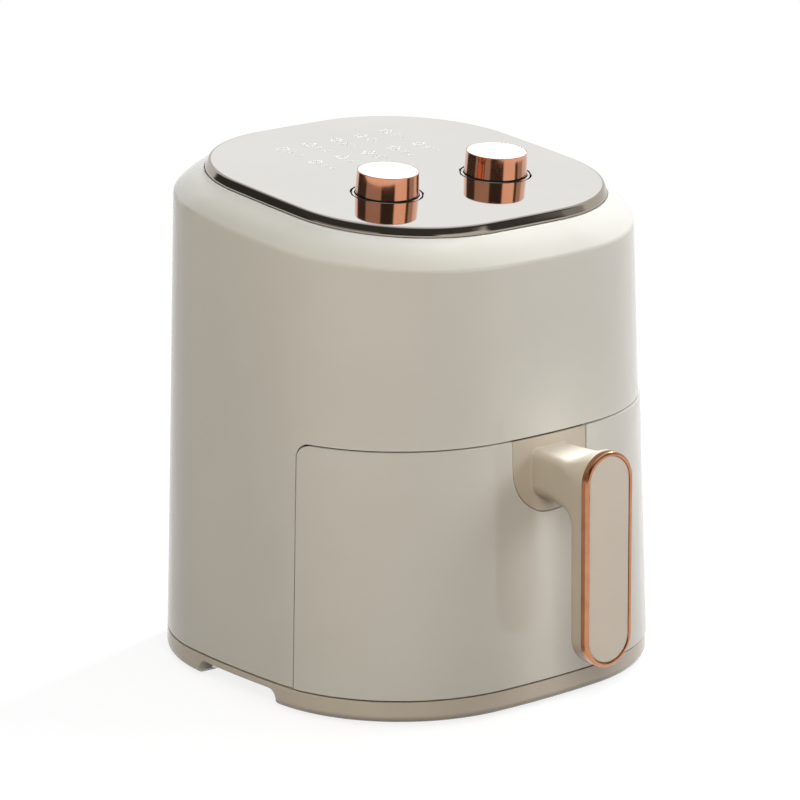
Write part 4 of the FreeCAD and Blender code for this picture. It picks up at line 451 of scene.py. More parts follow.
profile = [
    wall(base_u, BASE_TOP, -BASE_WALL),
    wall(base_u, BASE_TOP, -0.35),
    wall(base_u, BASE_TOP - 0.12, -0.1),
    wall(base_u, BASE_TOP - 0.4),
    wall(base_u, np.maximum(BASE_TOP - 1.5, foot + lower_round + 0.4)),
]
for angle in np.linspace(0.0, math.pi / 2, 9):
    edge_z, edge_inset = lower_round * (1 - math.sin(angle)), lower_round * (1 - math.cos(angle))
    profile.append(inset_wall(foot + edge_z, edge_inset))
to_side = np.clip((np.abs(base_spots[:, 0]) - DEEP_FROM) / DEEP_OVER, 0.0, 1.0)
under_inset = np.maximum(lower_round + 0.2, BASE_WALL + (FOOT_DEPTH - BASE_WALL) * to_side)
profile += [inset_wall(foot, under_inset), inset_wall(FLOOR_UNDER, under_inset)]
ring_points = np.stack(profile)
SPREAD = (0.0, 0.35, 0.7, 1.0)  # rows of the floor, from its middle to the ring
floor_rows = [ring_points[-1] * (share, share, 1.0) for share in SPREAD[::-1]]
floor_edge = wall(base_u, FLOOR_TOP, -BASE_WALL)
top_rows = [floor_edge * (share, share, 1.0) for share in SPREAD] + [ring_points[0]]
base = new_object("base_ring", [
    sheet(ring_points, wrap=True, flip=True),
    sheet(np.stack(floor_rows), wrap=True, flip=True),
    sheet(np.stack(top_rows), wrap=True, flip=True),
])
finish_piece(base)
stands_for(base, "housing", "body_cream", "base_tray")

# %% [markdown]
# Four posts under the base floor carry the rubber feet, and four small seats take the screws. Each is a
# profile turned about an upright axis.

# %% Turned pieces and foot posts
def lathe(profile, x, y, columns, place=None):
    """Turns a profile of (radius, height) about the axis through x, y; place maps x, y, z to the body."""
    profile = np.array(profile, float)
    turn = np.linspace(0.0, 2 * math.pi, columns, endpoint=False)
    spots = (
        x + profile[:, :1] * np.cos(turn),
        y + profile[:, :1] * np.sin(turn),
        np.repeat(profile[:, 1:], columns, axis=1),
    )
    points = place(*spots) if place else np.stack(spots, -1)
    return sheet(points, wrap=True)


def rounded_corner(r, z, radius, start, stop, steps=5):
    """Points of an arc about r, z, from one angle to another in degrees."""
    turn = np.radians(np.linspace(start, stop, steps))
    return [(r + radius * math.cos(a), z + radius * math.sin(a)) for a in turn]


FOOT_X, FOOT_Y, FOOT_RADIUS, FOOT_HEIGHT, FOOT_ROUND = 82.0, 84.0, 9.0, 2.0, 0.7
POST_RADIUS, POST_ROUND, POST_DRAFT = 12.0, 0.8, 0.2
SEAT_LOW, SEAT_RADIUS, SEAT_BORE = 10.5, 5.2, 1.9
SIDE_SCREW, REAR_SCREW = (121.7, 26.0), (26.0, 125.1)
IN_FLOOR = FLOOR_UNDER + 0.4
post_profile = [(0.0, FOOT_HEIGHT)]
post_profile += rounded_corner(POST_RADIUS - POST_ROUND, FOOT_HEIGHT + POST_ROUND, POST_ROUND, -90, 0)
post_profile += [(POST_RADIUS + POST_DRAFT, IN_FLOOR), (0.0, IN_FLOOR)]
foot_profile = [(0.0, 0.0)] + rounded_corner(FOOT_RADIUS - FOOT_ROUND, FOOT_ROUND, FOOT_ROUND, -90, 0)
foot_profile += [(FOOT_RADIUS, FOOT_HEIGHT), (0.0, FOOT_HEIGHT)]
foot_spots = [(x * FOOT_X, y * FOOT_Y) for x, y in ((-1, -1), (1, -1), (1, 1), (-1, 1))]
seat_profile = [(SEAT_BORE, SEAT_LOW), (SEAT_RADIUS - 0.2, SEAT_LOW), (SEAT_RADIUS, SEAT_LOW + 0.2)]
seat_profile += [(SEAT_RADIUS, IN_FLOOR), (SEAT_BORE, IN_FLOOR), (SEAT_BORE, SEAT_LOW)]
seat_spots = [(side * x, y) for x, y in (SIDE_SCREW, REAR_SCREW) for side in (-1, 1)]
posts = [lathe(post_profile, x, y, 48) for x, y in foot_spots]
posts = new_object("foot_posts", posts + [lathe(seat_profile, x, y, 32) for x, y in seat_spots])
finish_piece(posts)
stands_for(posts, "housing", "body_cream")
feet = new_object("rubber_feet", [lathe(foot_profile, x, y, 48) for x, y in foot_spots])
finish_piece(feet)
stands_for(feet, "housing", "foot_rubber", "foot_pads")

# %% [markdown]
# ## The drawer front
# The drawer front wraps both front corners and stands one millimetre outside the shell, so its upper edge
# catches light. It is the same wall again, grown by that millimetre and ending in the rounded corners.
# The handle's root plate sits in a shallow seat, which is taken out with a closed block whose back
# follows the wall. Above the plate a second block opens the wall, so that the gap there stays dark.

# %% Drawer front
PROUD, DRAWER_WALL = 1.0, 3.0
ROOT_HALF, ROOT_LOW, ROOT_TOP = 27.5, 117.0, 161.8
ROOT_SEAT, ROOT_SINK, ROOT_GAP, CUT_AHEAD = 2.2, 0.5, 0.8, 14.0
levels = corner_levels(SEAM_Z, DRAWER_TOP, DRAWER_CORNER, 40, 14)
edge_u = side_parameter(rear_edge_y(levels, DRAWER_REAR, DRAWER_TOP, DRAWER_CORNER), levels, PROUD)
front_u = FRONT_MIDDLE + (FRONT_MIDDLE - edge_u)[:, None] * np.linspace(-1.0, 1.0, 221)
front_skin = wall(front_u, levels[:, None], PROUD)


def root_plate(half, low, top, rows, columns, grow):
    """Grid of the handle root's outline, straight sides over a half round, laid on the front wall."""
    turn = np.linspace(0.15, math.pi / 2, rows)
    z = np.concatenate([low + half * (1 - np.cos(turn)), np.linspace(low + half, top, 12)[1:]])
    reach = np.concatenate([half * np.sin(turn), np.full(11, half)])
    x = reach[:, None] * np.linspace(-1.0, 1.0, columns)
    z = np.repeat(z[:, None], columns, axis=1)
    return np.stack([x, front_y(x, z, grow), z], -1)


def thick_block(face, depth):
    """Closed block between a grid that faces forward and the same grid moved forward by depth."""
    ahead = face + (0.0, -depth, 0.0)
    loop = np.concatenate([face[0, :-1], face[:-1, -1], face[-1, :0:-1], face[:0:-1, 0]])
    loop_ahead = np.concatenate([ahead[0, :-1], ahead[:-1, -1], ahead[-1, :0:-1], ahead[:0:-1, 0]])
    return [sheet(ahead), sheet(face, flip=True), sheet(np.stack([loop, loop_ahead]), wrap=True, flip=True)]


seat_half, seat_low = ROOT_HALF + ROOT_GAP, ROOT_LOW - ROOT_GAP
seat_back = root_plate(seat_half, seat_low, DRAWER_TOP + 6.0, 24, 41, PROUD - ROOT_SEAT)
seat_cutter = new_object("seat_cutter", thick_block(seat_back, CUT_AHEAD))
slot_levels = np.linspace(ROOT_TOP - 0.4, DRAWER_TOP + 8.0, 6)
slot_x, slot_z = np.meshgrid(np.linspace(-ROOT_HALF, ROOT_HALF, 41), slot_levels)
slot_back = np.stack([slot_x, front_y(slot_x, slot_z, PROUD - DRAWER_WALL - 2.0), slot_z], -1)
slot_cutter = new_object("slot_cutter", thick_block(slot_back, CUT_AHEAD))
drawer_front = new_object("drawer_skin", [sheet(front_skin)])
finish_piece(drawer_front, wall=DRAWER_WALL, edge=0.8, cutters=[seat_cutter, slot_cutter])
stands_for(drawer_front, "drawer", "body_cream", "drawer_front")

# %% [markdown]
# ## The handle
# Root plate, arm and grip are one moulding with soft inner curves. Its form is easiest to say as a field:
# a number for each point in space that is negative inside. The side view is an L with a fillet, the front
# view a stadium, and rounded intersections of the two give every edge its radius. The surface is then a
# grid: from a line along the middle of the handle, rays go out and a bisection finds where they leave.

# %% Handle field
GRIP_RADIUS, GRIP_LOW, GRIP_TOP, GRIP_BACK, RING_BACK = 17.5, 35.0, 162.0, -165.0, -177.5
ARM_HALF, ARM_LOW, ARM_TOP, ARM_EDGE = 14.3, 125.9, 155.2, 4.6
ARM_FILLET, ROOT_FILLET, GRIP_FRONT = 8.5, 0.7, -182.0
NARROW_FROM, NARROW_TO, FALL_TO, EDGE_TO, ROUND_FROM = -172.0, -140.0, -159.0, -156.0, -160.0
GRIP_ROUND, ARM_MORE = 6.0, 3.0  # rounding between the side and front views, and what the arm adds to it


def round_join(a, b, radius):
    """Union of two fields with a concave fillet of the given radius between them."""
    corner = np.hypot(np.maximum(radius - a, 0), np.maximum(radius - b, 0))
    return np.maximum(radius, np.minimum(a, b)) - corner


def round_meet(a, b, radius):
    """Intersection of two fields whose common edge is rounded with the given radius."""
    corner = np.hypot(np.maximum(radius + a, 0), np.maximum(radius + b, 0))
    return np.minimum(-radius, np.maximum(a, b)) + corner


def ease(value, start, stop):
    """Smooth step: 0 at start, 1 at stop, level at both."""
    share = np.clip((value - start) / (stop - start), 0.0, 1.0)
    return share * share * (3 - 2 * share)


def handle_field(points):
    """Negative inside: a bar with rounded top edges, which widens and rises to a half round at the grip,
    met by the grip's lower half round and by the L of the side view, and joined to the root plate."""
    x, y, z = points[..., 0], points[..., 1], points[..., 2]
    half = GRIP_RADIUS + (ARM_HALF - GRIP_RADIUS) * ease(y, NARROW_FROM, NARROW_TO)
    top = GRIP_TOP + (ARM_TOP - GRIP_TOP) * ease(y, RING_BACK + 1.0, FALL_TO)
    edge = GRIP_RADIUS + (ARM_EDGE - GRIP_RADIUS) * ease(y, RING_BACK, EDGE_TO)
    upper = round_meet(np.abs(x) - half, z - top, edge)
    lower = np.hypot(x, np.minimum(z - GRIP_LOW - GRIP_RADIUS, 0.0)) - half
    profile = round_join(ARM_LOW - z, y - GRIP_BACK, ARM_FILLET)
    rounding = GRIP_ROUND + ARM_MORE * ease(y, ROUND_FROM, NARROW_TO)
    body = round_meet(profile, np.maximum(upper, lower), rounding)
    body = np.maximum(body, (RING_BACK - 0.9) - y)
    return round_join(body, plate_depth(x, z) - y, ROOT_FILLET)


def plate_depth(x, z):
    """Depth of the root plate's face near the arm."""
    return front_y(np.clip(x, -40, 40), np.clip(z, 90, 170), PROUD - ROOT_SINK)


def leave(origin, direction, far, steps=34):
    """Distance along each ray at which the field turns positive, by bisection."""
    near, distant = np.zeros(far.shape), far.copy()
    for _ in range(steps):
        half = (near + distant) / 2
        inside = handle_field(origin + direction * half[..., None]) < 0
        near, distant = np.where(inside, half, near), np.where(inside, distant, half)
    return near


# %% Handle grid
ARM_MIDDLE, GRIP_MIDDLE = 140.5, -171.25
PIVOT_Y, PIVOT_Z = GRIP_BACK + ARM_FILLET, ARM_LOW - ARM_FILLET
COLUMNS = 128
aim = np.linspace(0.0, 2 * math.pi, COLUMNS, endpoint=False)


def ray_row(centre, outward):
    """One row of surface points: rays fan out from a centre in the plane of x and an outward direction."""
    direction = np.stack([np.sin(aim), outward[1] * np.cos(aim), outward[2] * np.cos(aim)], -1)
    origin = np.broadcast_to(np.array(centre, float), direction.shape)
    return origin + direction * leave(origin, direction, np.full(COLUMNS, 70.0))[:, None]


def arm_row(share):
    """A row of the arm that follows the root plate at share 0 and is flat at the pivot at share 1."""
    reach = np.full(COLUMNS, 40.0)
    near, distant = np.zeros(COLUMNS), reach
    for _ in range(34):
        half = (near + distant) / 2
        x, z = half * np.sin(aim), ARM_MIDDLE + half * np.cos(aim)
        y = (1 - share) * (plate_depth(x, z) - 0.02) + share * PIVOT_Y
        inside = handle_field(np.stack([x, y, z], -1)) < 0
        near, distant = np.where(inside, half, near), np.where(inside, distant, half)
    x, z = near * np.sin(aim), ARM_MIDDLE + near * np.cos(aim)
    return np.stack([x, (1 - share) * (plate_depth(x, z) - 0.02) + share * PIVOT_Y, z], -1)


shares = np.concatenate([np.linspace(0.0, 0.14, 9), np.linspace(0.18, 1.0, 18)])
rows = [arm_row(share) for share in shares]
rows.insert(0, rows[0] + (0.0, 1.2, 0.0))
rows.insert(0, np.broadcast_to(rows[0].mean(0), rows[0].shape))
for angle in np.linspace(0.0, math.pi / 2, 46)[1:]:
    share = angle / (math.pi / 2)
    reach = (1 - share) * (ARM_MIDDLE - PIVOT_Z) + share * (PIVOT_Y - GRIP_MIDDLE)
    outward = (0.0, -math.sin(angle), math.cos(angle))
    rows.append(ray_row((0.0, PIVOT_Y + outward[1] * reach, PIVOT_Z + outward[2] * reach), outward))
for z in np.linspace(PIVOT_Z, GRIP_LOW + GRIP_RADIUS, 40)[1:]:
    rows.append(ray_row((0.0, GRIP_MIDDLE, z), (0.0, -1.0, 0.0)))
for fall in np.linspace(0.0, math.pi / 2, 26)[1:]:
    level, down = math.cos(fall), np.full(COLUMNS, -math.sin(fall))
    direction = np.stack([np.sin(aim) * level, -np.cos(aim) * level, down], -1)
    origin = np.broadcast_to(np.array((0.0, GRIP_MIDDLE, GRIP_LOW + GRIP_RADIUS)), direction.shape)
    rows.append(origin + direction * leave(origin, direction, np.full(COLUMNS, 40.0))[:, None])
handle_rows = np.stack(rows)
plate_face = root_plate(ROOT_HALF, ROOT_LOW, ROOT_TOP, 28, 45, PROUD - ROOT_SINK)
plate = new_object("root_plate", [sheet(plate_face)])
finish_piece(plate, wall=1.65, edge=0.5)
stands_for(plate, "drawer", "body_cream")
handle = new_object("handle_moulding", [sheet(handle_rows, wrap=True, flip=True)])
finish_piece(handle)
stands_for(handle, "drawer", "body_cream", "handle_body")
print("handle grid", handle_rows.shape, "from z", handle_rows[..., 2].min(), "to", handle_rows[..., 2].max())

# %% [markdown]
# ## Copper ring and face plate of the handle
# The ring is a plated profile with rounded front edges, carried along the stadium outline. The face plate
# lies half a millimetre behind the ring's front, and its edge is softly rolled.

# %% Ring and face plate
def stadium(offset, count):
    """Points of the stadium of radius GRIP_RADIUS + offset, count points an end."""
    turn = np.concatenate([np.linspace(0.0, math.pi, count), np.linspace(math.pi, 2 * math.pi, count)])
    middle = np.concatenate([np.full(count, GRIP_TOP - GRIP_RADIUS), np.full(count, GRIP_LOW + GRIP_RADIUS)])
    radius = GRIP_RADIUS + offset
    return np.stack([radius * np.cos(turn), middle + radius * np.sin(turn)], -1)


def carried(profile, count=56):
    """Carries a profile of (offset, y) along the stadium, one row for each point of the profile."""
    rows = []
    for offset, y in profile:
        spots = stadium(offset, count)
        rows.append(np.stack([spots[:, 0], np.full(len(spots), y), spots[:, 1]], -1))
    return np.stack(rows)


def quarter_arc(side, front, wide, deep, steps):
    """Quarter ellipse of (offset, y), from the side round to the front: wide across and deep in y."""
    turn = np.linspace(0.0, math.pi / 2, steps)
    return [(side - wide * (1 - math.cos(a)), front + deep * (1 - math.sin(a))) for a in turn]


BORDER, RING_PROUD, RING_ROUND, LIP_ROUND = 2.4, 0.12, 1.6, 0.7
ring_profile = [(-BORDER, RING_BACK + 0.2), (-0.3, RING_BACK + 0.2), (RING_PROUD, RING_BACK + 0.3)]
ring_profile += quarter_arc(RING_PROUD, GRIP_FRONT, RING_ROUND, RING_ROUND, 9)
ring_profile += quarter_arc(-BORDER, GRIP_FRONT, -LIP_ROUND, LIP_ROUND, 6)[::-1]
ring_profile += [(-BORDER, RING_BACK - 1.0), (-BORDER, RING_BACK + 0.2)]
ring = new_object("handle_ring", [sheet(carried(ring_profile), wrap=True)])
finish_piece(ring)
stands_for(ring, "drawer", "copper_plate", "handle_trim")
FACE_FRONT, FACE_INSET, FACE_CROWN = GRIP_FRONT + 0.5, 2.5, 0.12
FACE_MIDDLE = GRIP_RADIUS - 0.001  # just short of the middle line, where the stadium would fold
face_profile = [(-FACE_MIDDLE, RING_BACK), (-FACE_INSET, RING_BACK)]
face_profile += quarter_arc(-FACE_INSET, FACE_FRONT, 0.9, 0.5, 6)
for depth in (1.4, 3.0, 6.0, 10.0, FACE_MIDDLE - FACE_INSET):
    face_profile.append((-FACE_INSET - depth, FACE_FRONT - FACE_CROWN * min(depth / 6.0, 1.0)))
face_plate = new_object("handle_face_plate", [sheet(carried(face_profile), wrap=True)])
finish_piece(face_plate)
stands_for(face_plate, "drawer", "face_cream", "handle_face")

# %% [markdown]
# ## The mirror panel
# The control panel is a thick mirror with a bevelled edge, let into the shoulder, with a round well for
# each knob. Its rim is the seat's own curve carried over a short profile; its flat top is triangulated
# around the two wells, and a rounded lip leads down into each. In the well stands a narrow silvered
# collar, so that only a fine dark ring shows around the knob.

# %% Panel
WELL_RADIUS, COLLAR_RADIUS, COLLAR_BORE = 21.3, 20.3, 18.9
BEVEL_INSET, EDGE_RISE, TOP_ROUND, EDGE_CUT, SILVER = 2.2, 1.3, 1.1, 0.2, 0.12
KNOBS = ((-KNOB_X, "thermostat"), (KNOB_X, "timer"))


def panel_curve(inset, z):
    """The panel's outline moved inwards, at a height in the panel's frame."""
    return seat_ring(around, LEDGE + inset, z)


rim_profile = [(0.5, -PANEL_THICK), (0.12, 0.08 - PANEL_THICK), (0.0, 0.3 - PANEL_THICK)]
rim_profile += [(0.0, EDGE_RISE - PANEL_THICK - EDGE_CUT)]
bevel_foot, bevel_edge = np.array([0.0, EDGE_RISE - PANEL_THICK]), np.array([BEVEL_INSET, 0.0])
flat_edge = np.array([BEVEL_INSET + TOP_ROUND, 0.0])
slope = bevel_edge - bevel_foot
round_start = bevel_foot + slope * (1 - TOP_ROUND / np.linalg.norm(slope))
rim_profile += [bevel_foot + (round_start - bevel_foot) * share for share in (0.15, 0.4, 0.7)]
for share in np.linspace(0.0, 1.0, 8):
    rounded = (1 - share) ** 2 * round_start + 2 * share * (1 - share) * bevel_edge
    rim_profile.append(rounded + share ** 2 * flat_edge)
inner = flat_edge[0] + 0.3
rim_profile += [(inner, -0.05), (inner, -PANEL_THICK), rim_profile[0]]
rim_rows = [panel_curve(inset, z) for inset, z in rim_profile]
wells = [circle_points(x, KNOB_Y, WELL_RADIUS + 0.3, 96) for x, name in KNOBS]
panel_top = flat_face([panel_outline(around, LEDGE + flat_edge[0])] + wells, 0.0)
mirror_rim = new_object("mirror_rim", [sheet(np.stack(rim_rows), wrap=True)])
finish_piece(mirror_rim, turn=30.0)
stands_for(mirror_rim, "housing", "panel_mirror", "top_panel")
collar = [(COLLAR_RADIUS, -EDGE_CUT), (COLLAR_RADIUS - 0.15, 0.0)]
collar += [(COLLAR_BORE + 0.15, 0.0), (COLLAR_BORE, -EDGE_CUT)]
collars = [lathe(collar, x, KNOB_Y, 96, panel_plane) for x, name in KNOBS]
mirror = new_object("mirror_top", [panel_top] + collars)
finish_piece(mirror, wall=SILVER, turn=30.0)
stands_for(mirror, "housing", "panel_mirror")
well = [(COLLAR_BORE, -EDGE_CUT), (COLLAR_BORE, -PANEL_THICK), (COLLAR_RADIUS, -PANEL_THICK)]
well += [(COLLAR_RADIUS, -EDGE_CUT), (COLLAR_BORE, -EDGE_CUT)]
lip = [(WELL_RADIUS + 0.3, 0.0), (WELL_RADIUS + 0.09, -0.09), (WELL_RADIUS, -0.3)]
lip += [(WELL_RADIUS, -PANEL_THICK), (WELL_RADIUS + 0.6, -PANEL_THICK), (WELL_RADIUS + 0.6, -0.05)]
lip += lip[:1]
walls = [lathe(curve, x, KNOB_Y, 96, panel_plane) for curve in (well, lip) for x, name in KNOBS]
# the wells' walls take the black nylon finish: the black backing of the glass, and painted shade for the gap
# round each knob
well_walls = new_object("knob_wells", walls)
finish_piece(well_walls, turn=30.0)
stands_for(well_walls, "housing", "inner_black")

# %% [markdown]
# The panel carries two rows of faint white settings behind the knobs: a small sign with a temperature and
# a time under it. They are printed on the mirror, so they are flat meshes three hundredths of a
# millimetre above it. The signs here are plain shapes and the figures are ordinary ones.

# %% Printed settings
INK_LIFT, SIGN_SIZE, SIGN_WIDEN, FIGURE_SIZE = 0.03, 8.4, 1.2, 5.4
SIGN_UP, HEAT_DOWN, MINUTES_DOWN = 6.5, 2.6, 8.4
COLUMN_X, ROW_Y = (-37.0, -17.0, 3.0, 22.3, 41.5), (60.0, 29.0)
FIGURES = (("200", "18"), ("180", "15"), ("160", "12"), ("200", "25"), ("180", "10"),
           ("160", "20"), ("190", "15"), ("170", "30"), ("180", "20"), ("200", "12"))


def figure_mesh(text, x, y, size):
    """A line of figures centred on x, y as a flat mesh in the panel's frame."""
    data = bpy.data.curves.new("figures", "FONT")
    data.body = text
    data.size = size
    data.align_x = "CENTER"
    data.align_y = "CENTER"
    data.fill_mode = "FRONT"
    data.resolution_u = 3
    words = bpy.data.objects.new("figures", data)
    bpy.context.scene.collection.objects.link(words)
    mesh = bpy.data.meshes.new_from_object(words.evaluated_get(bpy.context.evaluated_depsgraph_get()))
    spots = np.empty(len(mesh.vertices) * 3)
    mesh.vertices.foreach_get("co", spots)
    faces = [list(face.vertices) for face in mesh.polygons]
    bpy.data.objects.remove(words)
    bpy.data.curves.remove(data)
    bpy.data.meshes.remove(mesh)
    spots = spots.reshape(-1, 3)
    return panel_plane(x + spots[:, 0], y + spots[:, 1], INK_LIFT), faces


def sign_mesh(kind, x, y):
    """A ring whose outline has a number of soft lobes, so that each setting has a sign of its own."""
    turn = np.linspace(0.0, 2 * math.pi, 64, endpoint=False)
    radius = SIGN_SIZE / 2 * (0.82 + 0.18 * np.cos(kind * turn))
    ring = np.stack([radius * share for share in (0.62, 1.0)])
    spots = panel_plane(x + SIGN_WIDEN * ring * np.cos(turn), y + ring * np.sin(turn), INK_LIFT)
    return sheet(spots, wrap=True, flip=True)


ink = []
for index, (heat, minutes) in enumerate(FIGURES):
    x, y = COLUMN_X[index % 5], ROW_Y[index // 5]
    ink.append(sign_mesh(2 + index % 5, x, y + SIGN_UP))
    ink.append(figure_mesh(heat, x, y - HEAT_DOWN, FIGURE_SIZE))
    ink.append(figure_mesh(minutes, x, y - MINUTES_DOWN, FIGURE_SIZE))
settings = new_object("printed_settings", ink)
stands_for(settings, "housing", "panel_mirror")
print("settings", len(settings.data.vertices), "points")

# %% [markdown]
# ## Knobs
# Each knob is a copper-plated cup, a degree and a half narrower at the top, closed by a white cap that
# lies flush with its rim. Both are turned profiles with small rounded edges, which is what makes the
# bright line around the cap. A neck goes down into the well, black as painted shade for the dark line at
# the knob's foot, and a coral dot is the pointer.

# %% Knobs and caps
KNOB_RADIUS, KNOB_TOP_RADIUS, KNOB_HEIGHT, KNOB_SKIRT, NECK_RADIUS = 18.5, 18.0, 13.7, 0.4, 17.9
CAP_RADIUS, CAP_SEAT, DOT_RADIUS, DOT_REACH, DOT_SIDE, DOT_FRONT = 17.5, 11.7, 0.85, 13.2, 0.77, 0.64
CUP_BORE, CUP_ROOF, NECK_LOW, SIDE_RISE = 16.5, 9.7, -5.0, KNOB_HEIGHT - 0.75 - KNOB_SKIRT
neck_profile = [(CUP_BORE, KNOB_SKIRT), (CUP_BORE, NECK_LOW), (NECK_RADIUS - 0.3, NECK_LOW)]
neck_profile += [(NECK_RADIUS, NECK_LOW + 0.3), (NECK_RADIUS, KNOB_SKIRT), (CUP_BORE, KNOB_SKIRT)]
knob_profile = [(0.0, CUP_ROOF), (CUP_BORE - 0.3, CUP_ROOF), (CUP_BORE, KNOB_SKIRT)]
knob_profile += [(KNOB_RADIUS - 0.2, KNOB_SKIRT), (KNOB_RADIUS, KNOB_SKIRT + 0.3)]
for share in (0.3, 0.6, 1.0):
    knob_profile.append((KNOB_RADIUS - 0.5 * share, KNOB_SKIRT + 0.3 + SIDE_RISE * share))
knob_profile += rounded_corner(KNOB_TOP_RADIUS - 0.35, KNOB_HEIGHT - 0.35, 0.35, 10, 90)
knob_profile += [(CAP_RADIUS + 0.06, KNOB_HEIGHT), (CAP_RADIUS + 0.03, CAP_SEAT), (0.0, CAP_SEAT)]
cap_profile = [(0.0, CAP_SEAT + 0.02), (CAP_RADIUS - 0.03, CAP_SEAT + 0.02)]
cap_profile += rounded_corner(CAP_RADIUS - 0.43, KNOB_HEIGHT - 0.35, 0.4, 0, 80)
cap_profile += [(12.0, KNOB_HEIGHT + 0.12), (6.0, KNOB_HEIGHT + 0.17), (0.0, KNOB_HEIGHT + 0.19)]
dot_profile = [(0.0, KNOB_HEIGHT + 0.02), (DOT_RADIUS, KNOB_HEIGHT + 0.02)]
dot_profile += [(DOT_RADIUS - 0.1, KNOB_HEIGHT + 0.14), (0.0, KNOB_HEIGHT + 0.16)]
for x, name in KNOBS:
    cup = new_object(name + "_cup", [lathe(knob_profile, x, KNOB_Y, 128, panel_plane)])
    finish_piece(cup, turn=30.0)
    stands_for(cup, name, "copper_plate", name + "_knob")
    # painted shade: the neck takes the black nylon finish, which draws the dark line where the knob meets
    # its well
    neck = new_object(name + "_neck", [lathe(neck_profile, x, KNOB_Y, 96, panel_plane)])
    finish_piece(neck, turn=30.0)
    stands_for(neck, name, "inner_black")
    cap = new_object(name + "_top", [lathe(cap_profile, x, KNOB_Y, 128, panel_plane)])
    finish_piece(cap, turn=50.0)
    stands_for(cap, name, "cap_white", name + "_cap")
    dot_x, dot_y = x + DOT_SIDE * DOT_REACH, KNOB_Y - DOT_FRONT * DOT_REACH
    dot = new_object(name + "_dot", [lathe(dot_profile, dot_x, dot_y, 32, panel_plane)])
    finish_piece(dot)
    stands_for(dot, name, "cap_white")

# %% [markdown]
# ## Finishes
# Each finish is a small node tree named for the real material. Colours are written as they look on screen
# and turned into the renderer's linear values. Patterns read Object coordinates, in metres, so a pattern's
# scale is one over its real size.

# %% Material tools
def linear(hex_colour):
    """Screen colour as six hex digits to linear RGBA: the two-piece sRGB curve for each channel."""
    screen = np.array([int(hex_colour[i:i + 2], 16) / 255 for i in (0, 2, 4)])
    values = np.where(screen <= 0.04045, screen / 12.92, ((screen + 0.055) / 1.055) ** 2.4)
    return (*values.tolist(), 1.0)


def add_node(tree, kind, inputs=(), **settings):
    """Adds a node: inputs maps sockets to constants or to other nodes' sockets, settings are attributes."""
    node = tree.nodes.new(kind)
    for name, value in settings.items():
        setattr(node, name, value)
    for name, value in dict(inputs).items():
        if isinstance(value, bpy.types.NodeSocket):
            tree.links.new(value, node.inputs[name])
        else:
            node.inputs[name].default_value = value
    return node


def finish(name, tones, blotch, rough, relief=None, stretch=(1.0, 1.0, 1.0), **sockets):
    """A finish of two near tones in blotches of that many millimetres, a range of roughness in finer ones
    and a relief of (size, depth) in millimetres. A noise keeps near its middle, so its range is widened.
    stretch squeezes the pattern along the axes, and sockets are constants of the surface."""
    material = bpy.data.materials.new(name)
    material.use_nodes = True
    tree = material.node_tree
    tree.nodes.clear()
    place = add_node(tree, "ShaderNodeTexCoord").outputs["Object"]
    place = add_node(tree, "ShaderNodeMapping", {"Vector": place, "Scale": stretch}).outputs["Vector"]
    coarse = add_node(tree, "ShaderNodeTexNoise", {"Vector": place, "Scale": 1000.0 / blotch, "Detail": 3.0})
    tone = add_node(tree, "ShaderNodeValToRGB", {"Fac": coarse.outputs["Fac"]})
    tone.color_ramp.elements[0].position, tone.color_ramp.elements[1].position = 0.3, 0.7
    tone.color_ramp.elements[0].color, tone.color_ramp.elements[1].color = linear(tones[0]), linear(tones[1])
    fine = add_node(tree, "ShaderNodeTexNoise", {"Vector": place, "Scale": 6000.0 / blotch, "Detail": 3.0})
    span = {"From Min": 0.3, "From Max": 0.7, "To Min": rough[0], "To Max": rough[1]}
    gloss = add_node(tree, "ShaderNodeMapRange", {"Value": fine.outputs["Fac"], **span})
    surface = {"Base Color": tone.outputs["Color"], "Roughness": gloss.outputs["Result"]}
    shader = add_node(tree, "ShaderNodeBsdfPrincipled", surface)
    for socket, value in sockets.items():
        shader.inputs[socket.replace("_", " ")].default_value = value
    if relief:
        size, depth = relief
        pattern = {"Vector": place, "Scale": 1000.0 / size, "Detail": 2.0}
        grain = add_node(tree, "ShaderNodeTexNoise", pattern).outputs["Fac"]
        bump = {"Height": grain, "Distance": depth * 0.001}
        tree.links.new(add_node(tree, "ShaderNodeBump", bump).outputs["Normal"], shader.inputs["Normal"])
    add_node(tree, "ShaderNodeOutputMaterial", {"Surface": shader.outputs["BSDF"]})
    return material


# %% [markdown]
# The outer finishes: glossy ABS for the mouldings, a satin version for the handle's face, a silvered
# mirror with a smoked bevel, copper plating, white caps and a coral pointer.

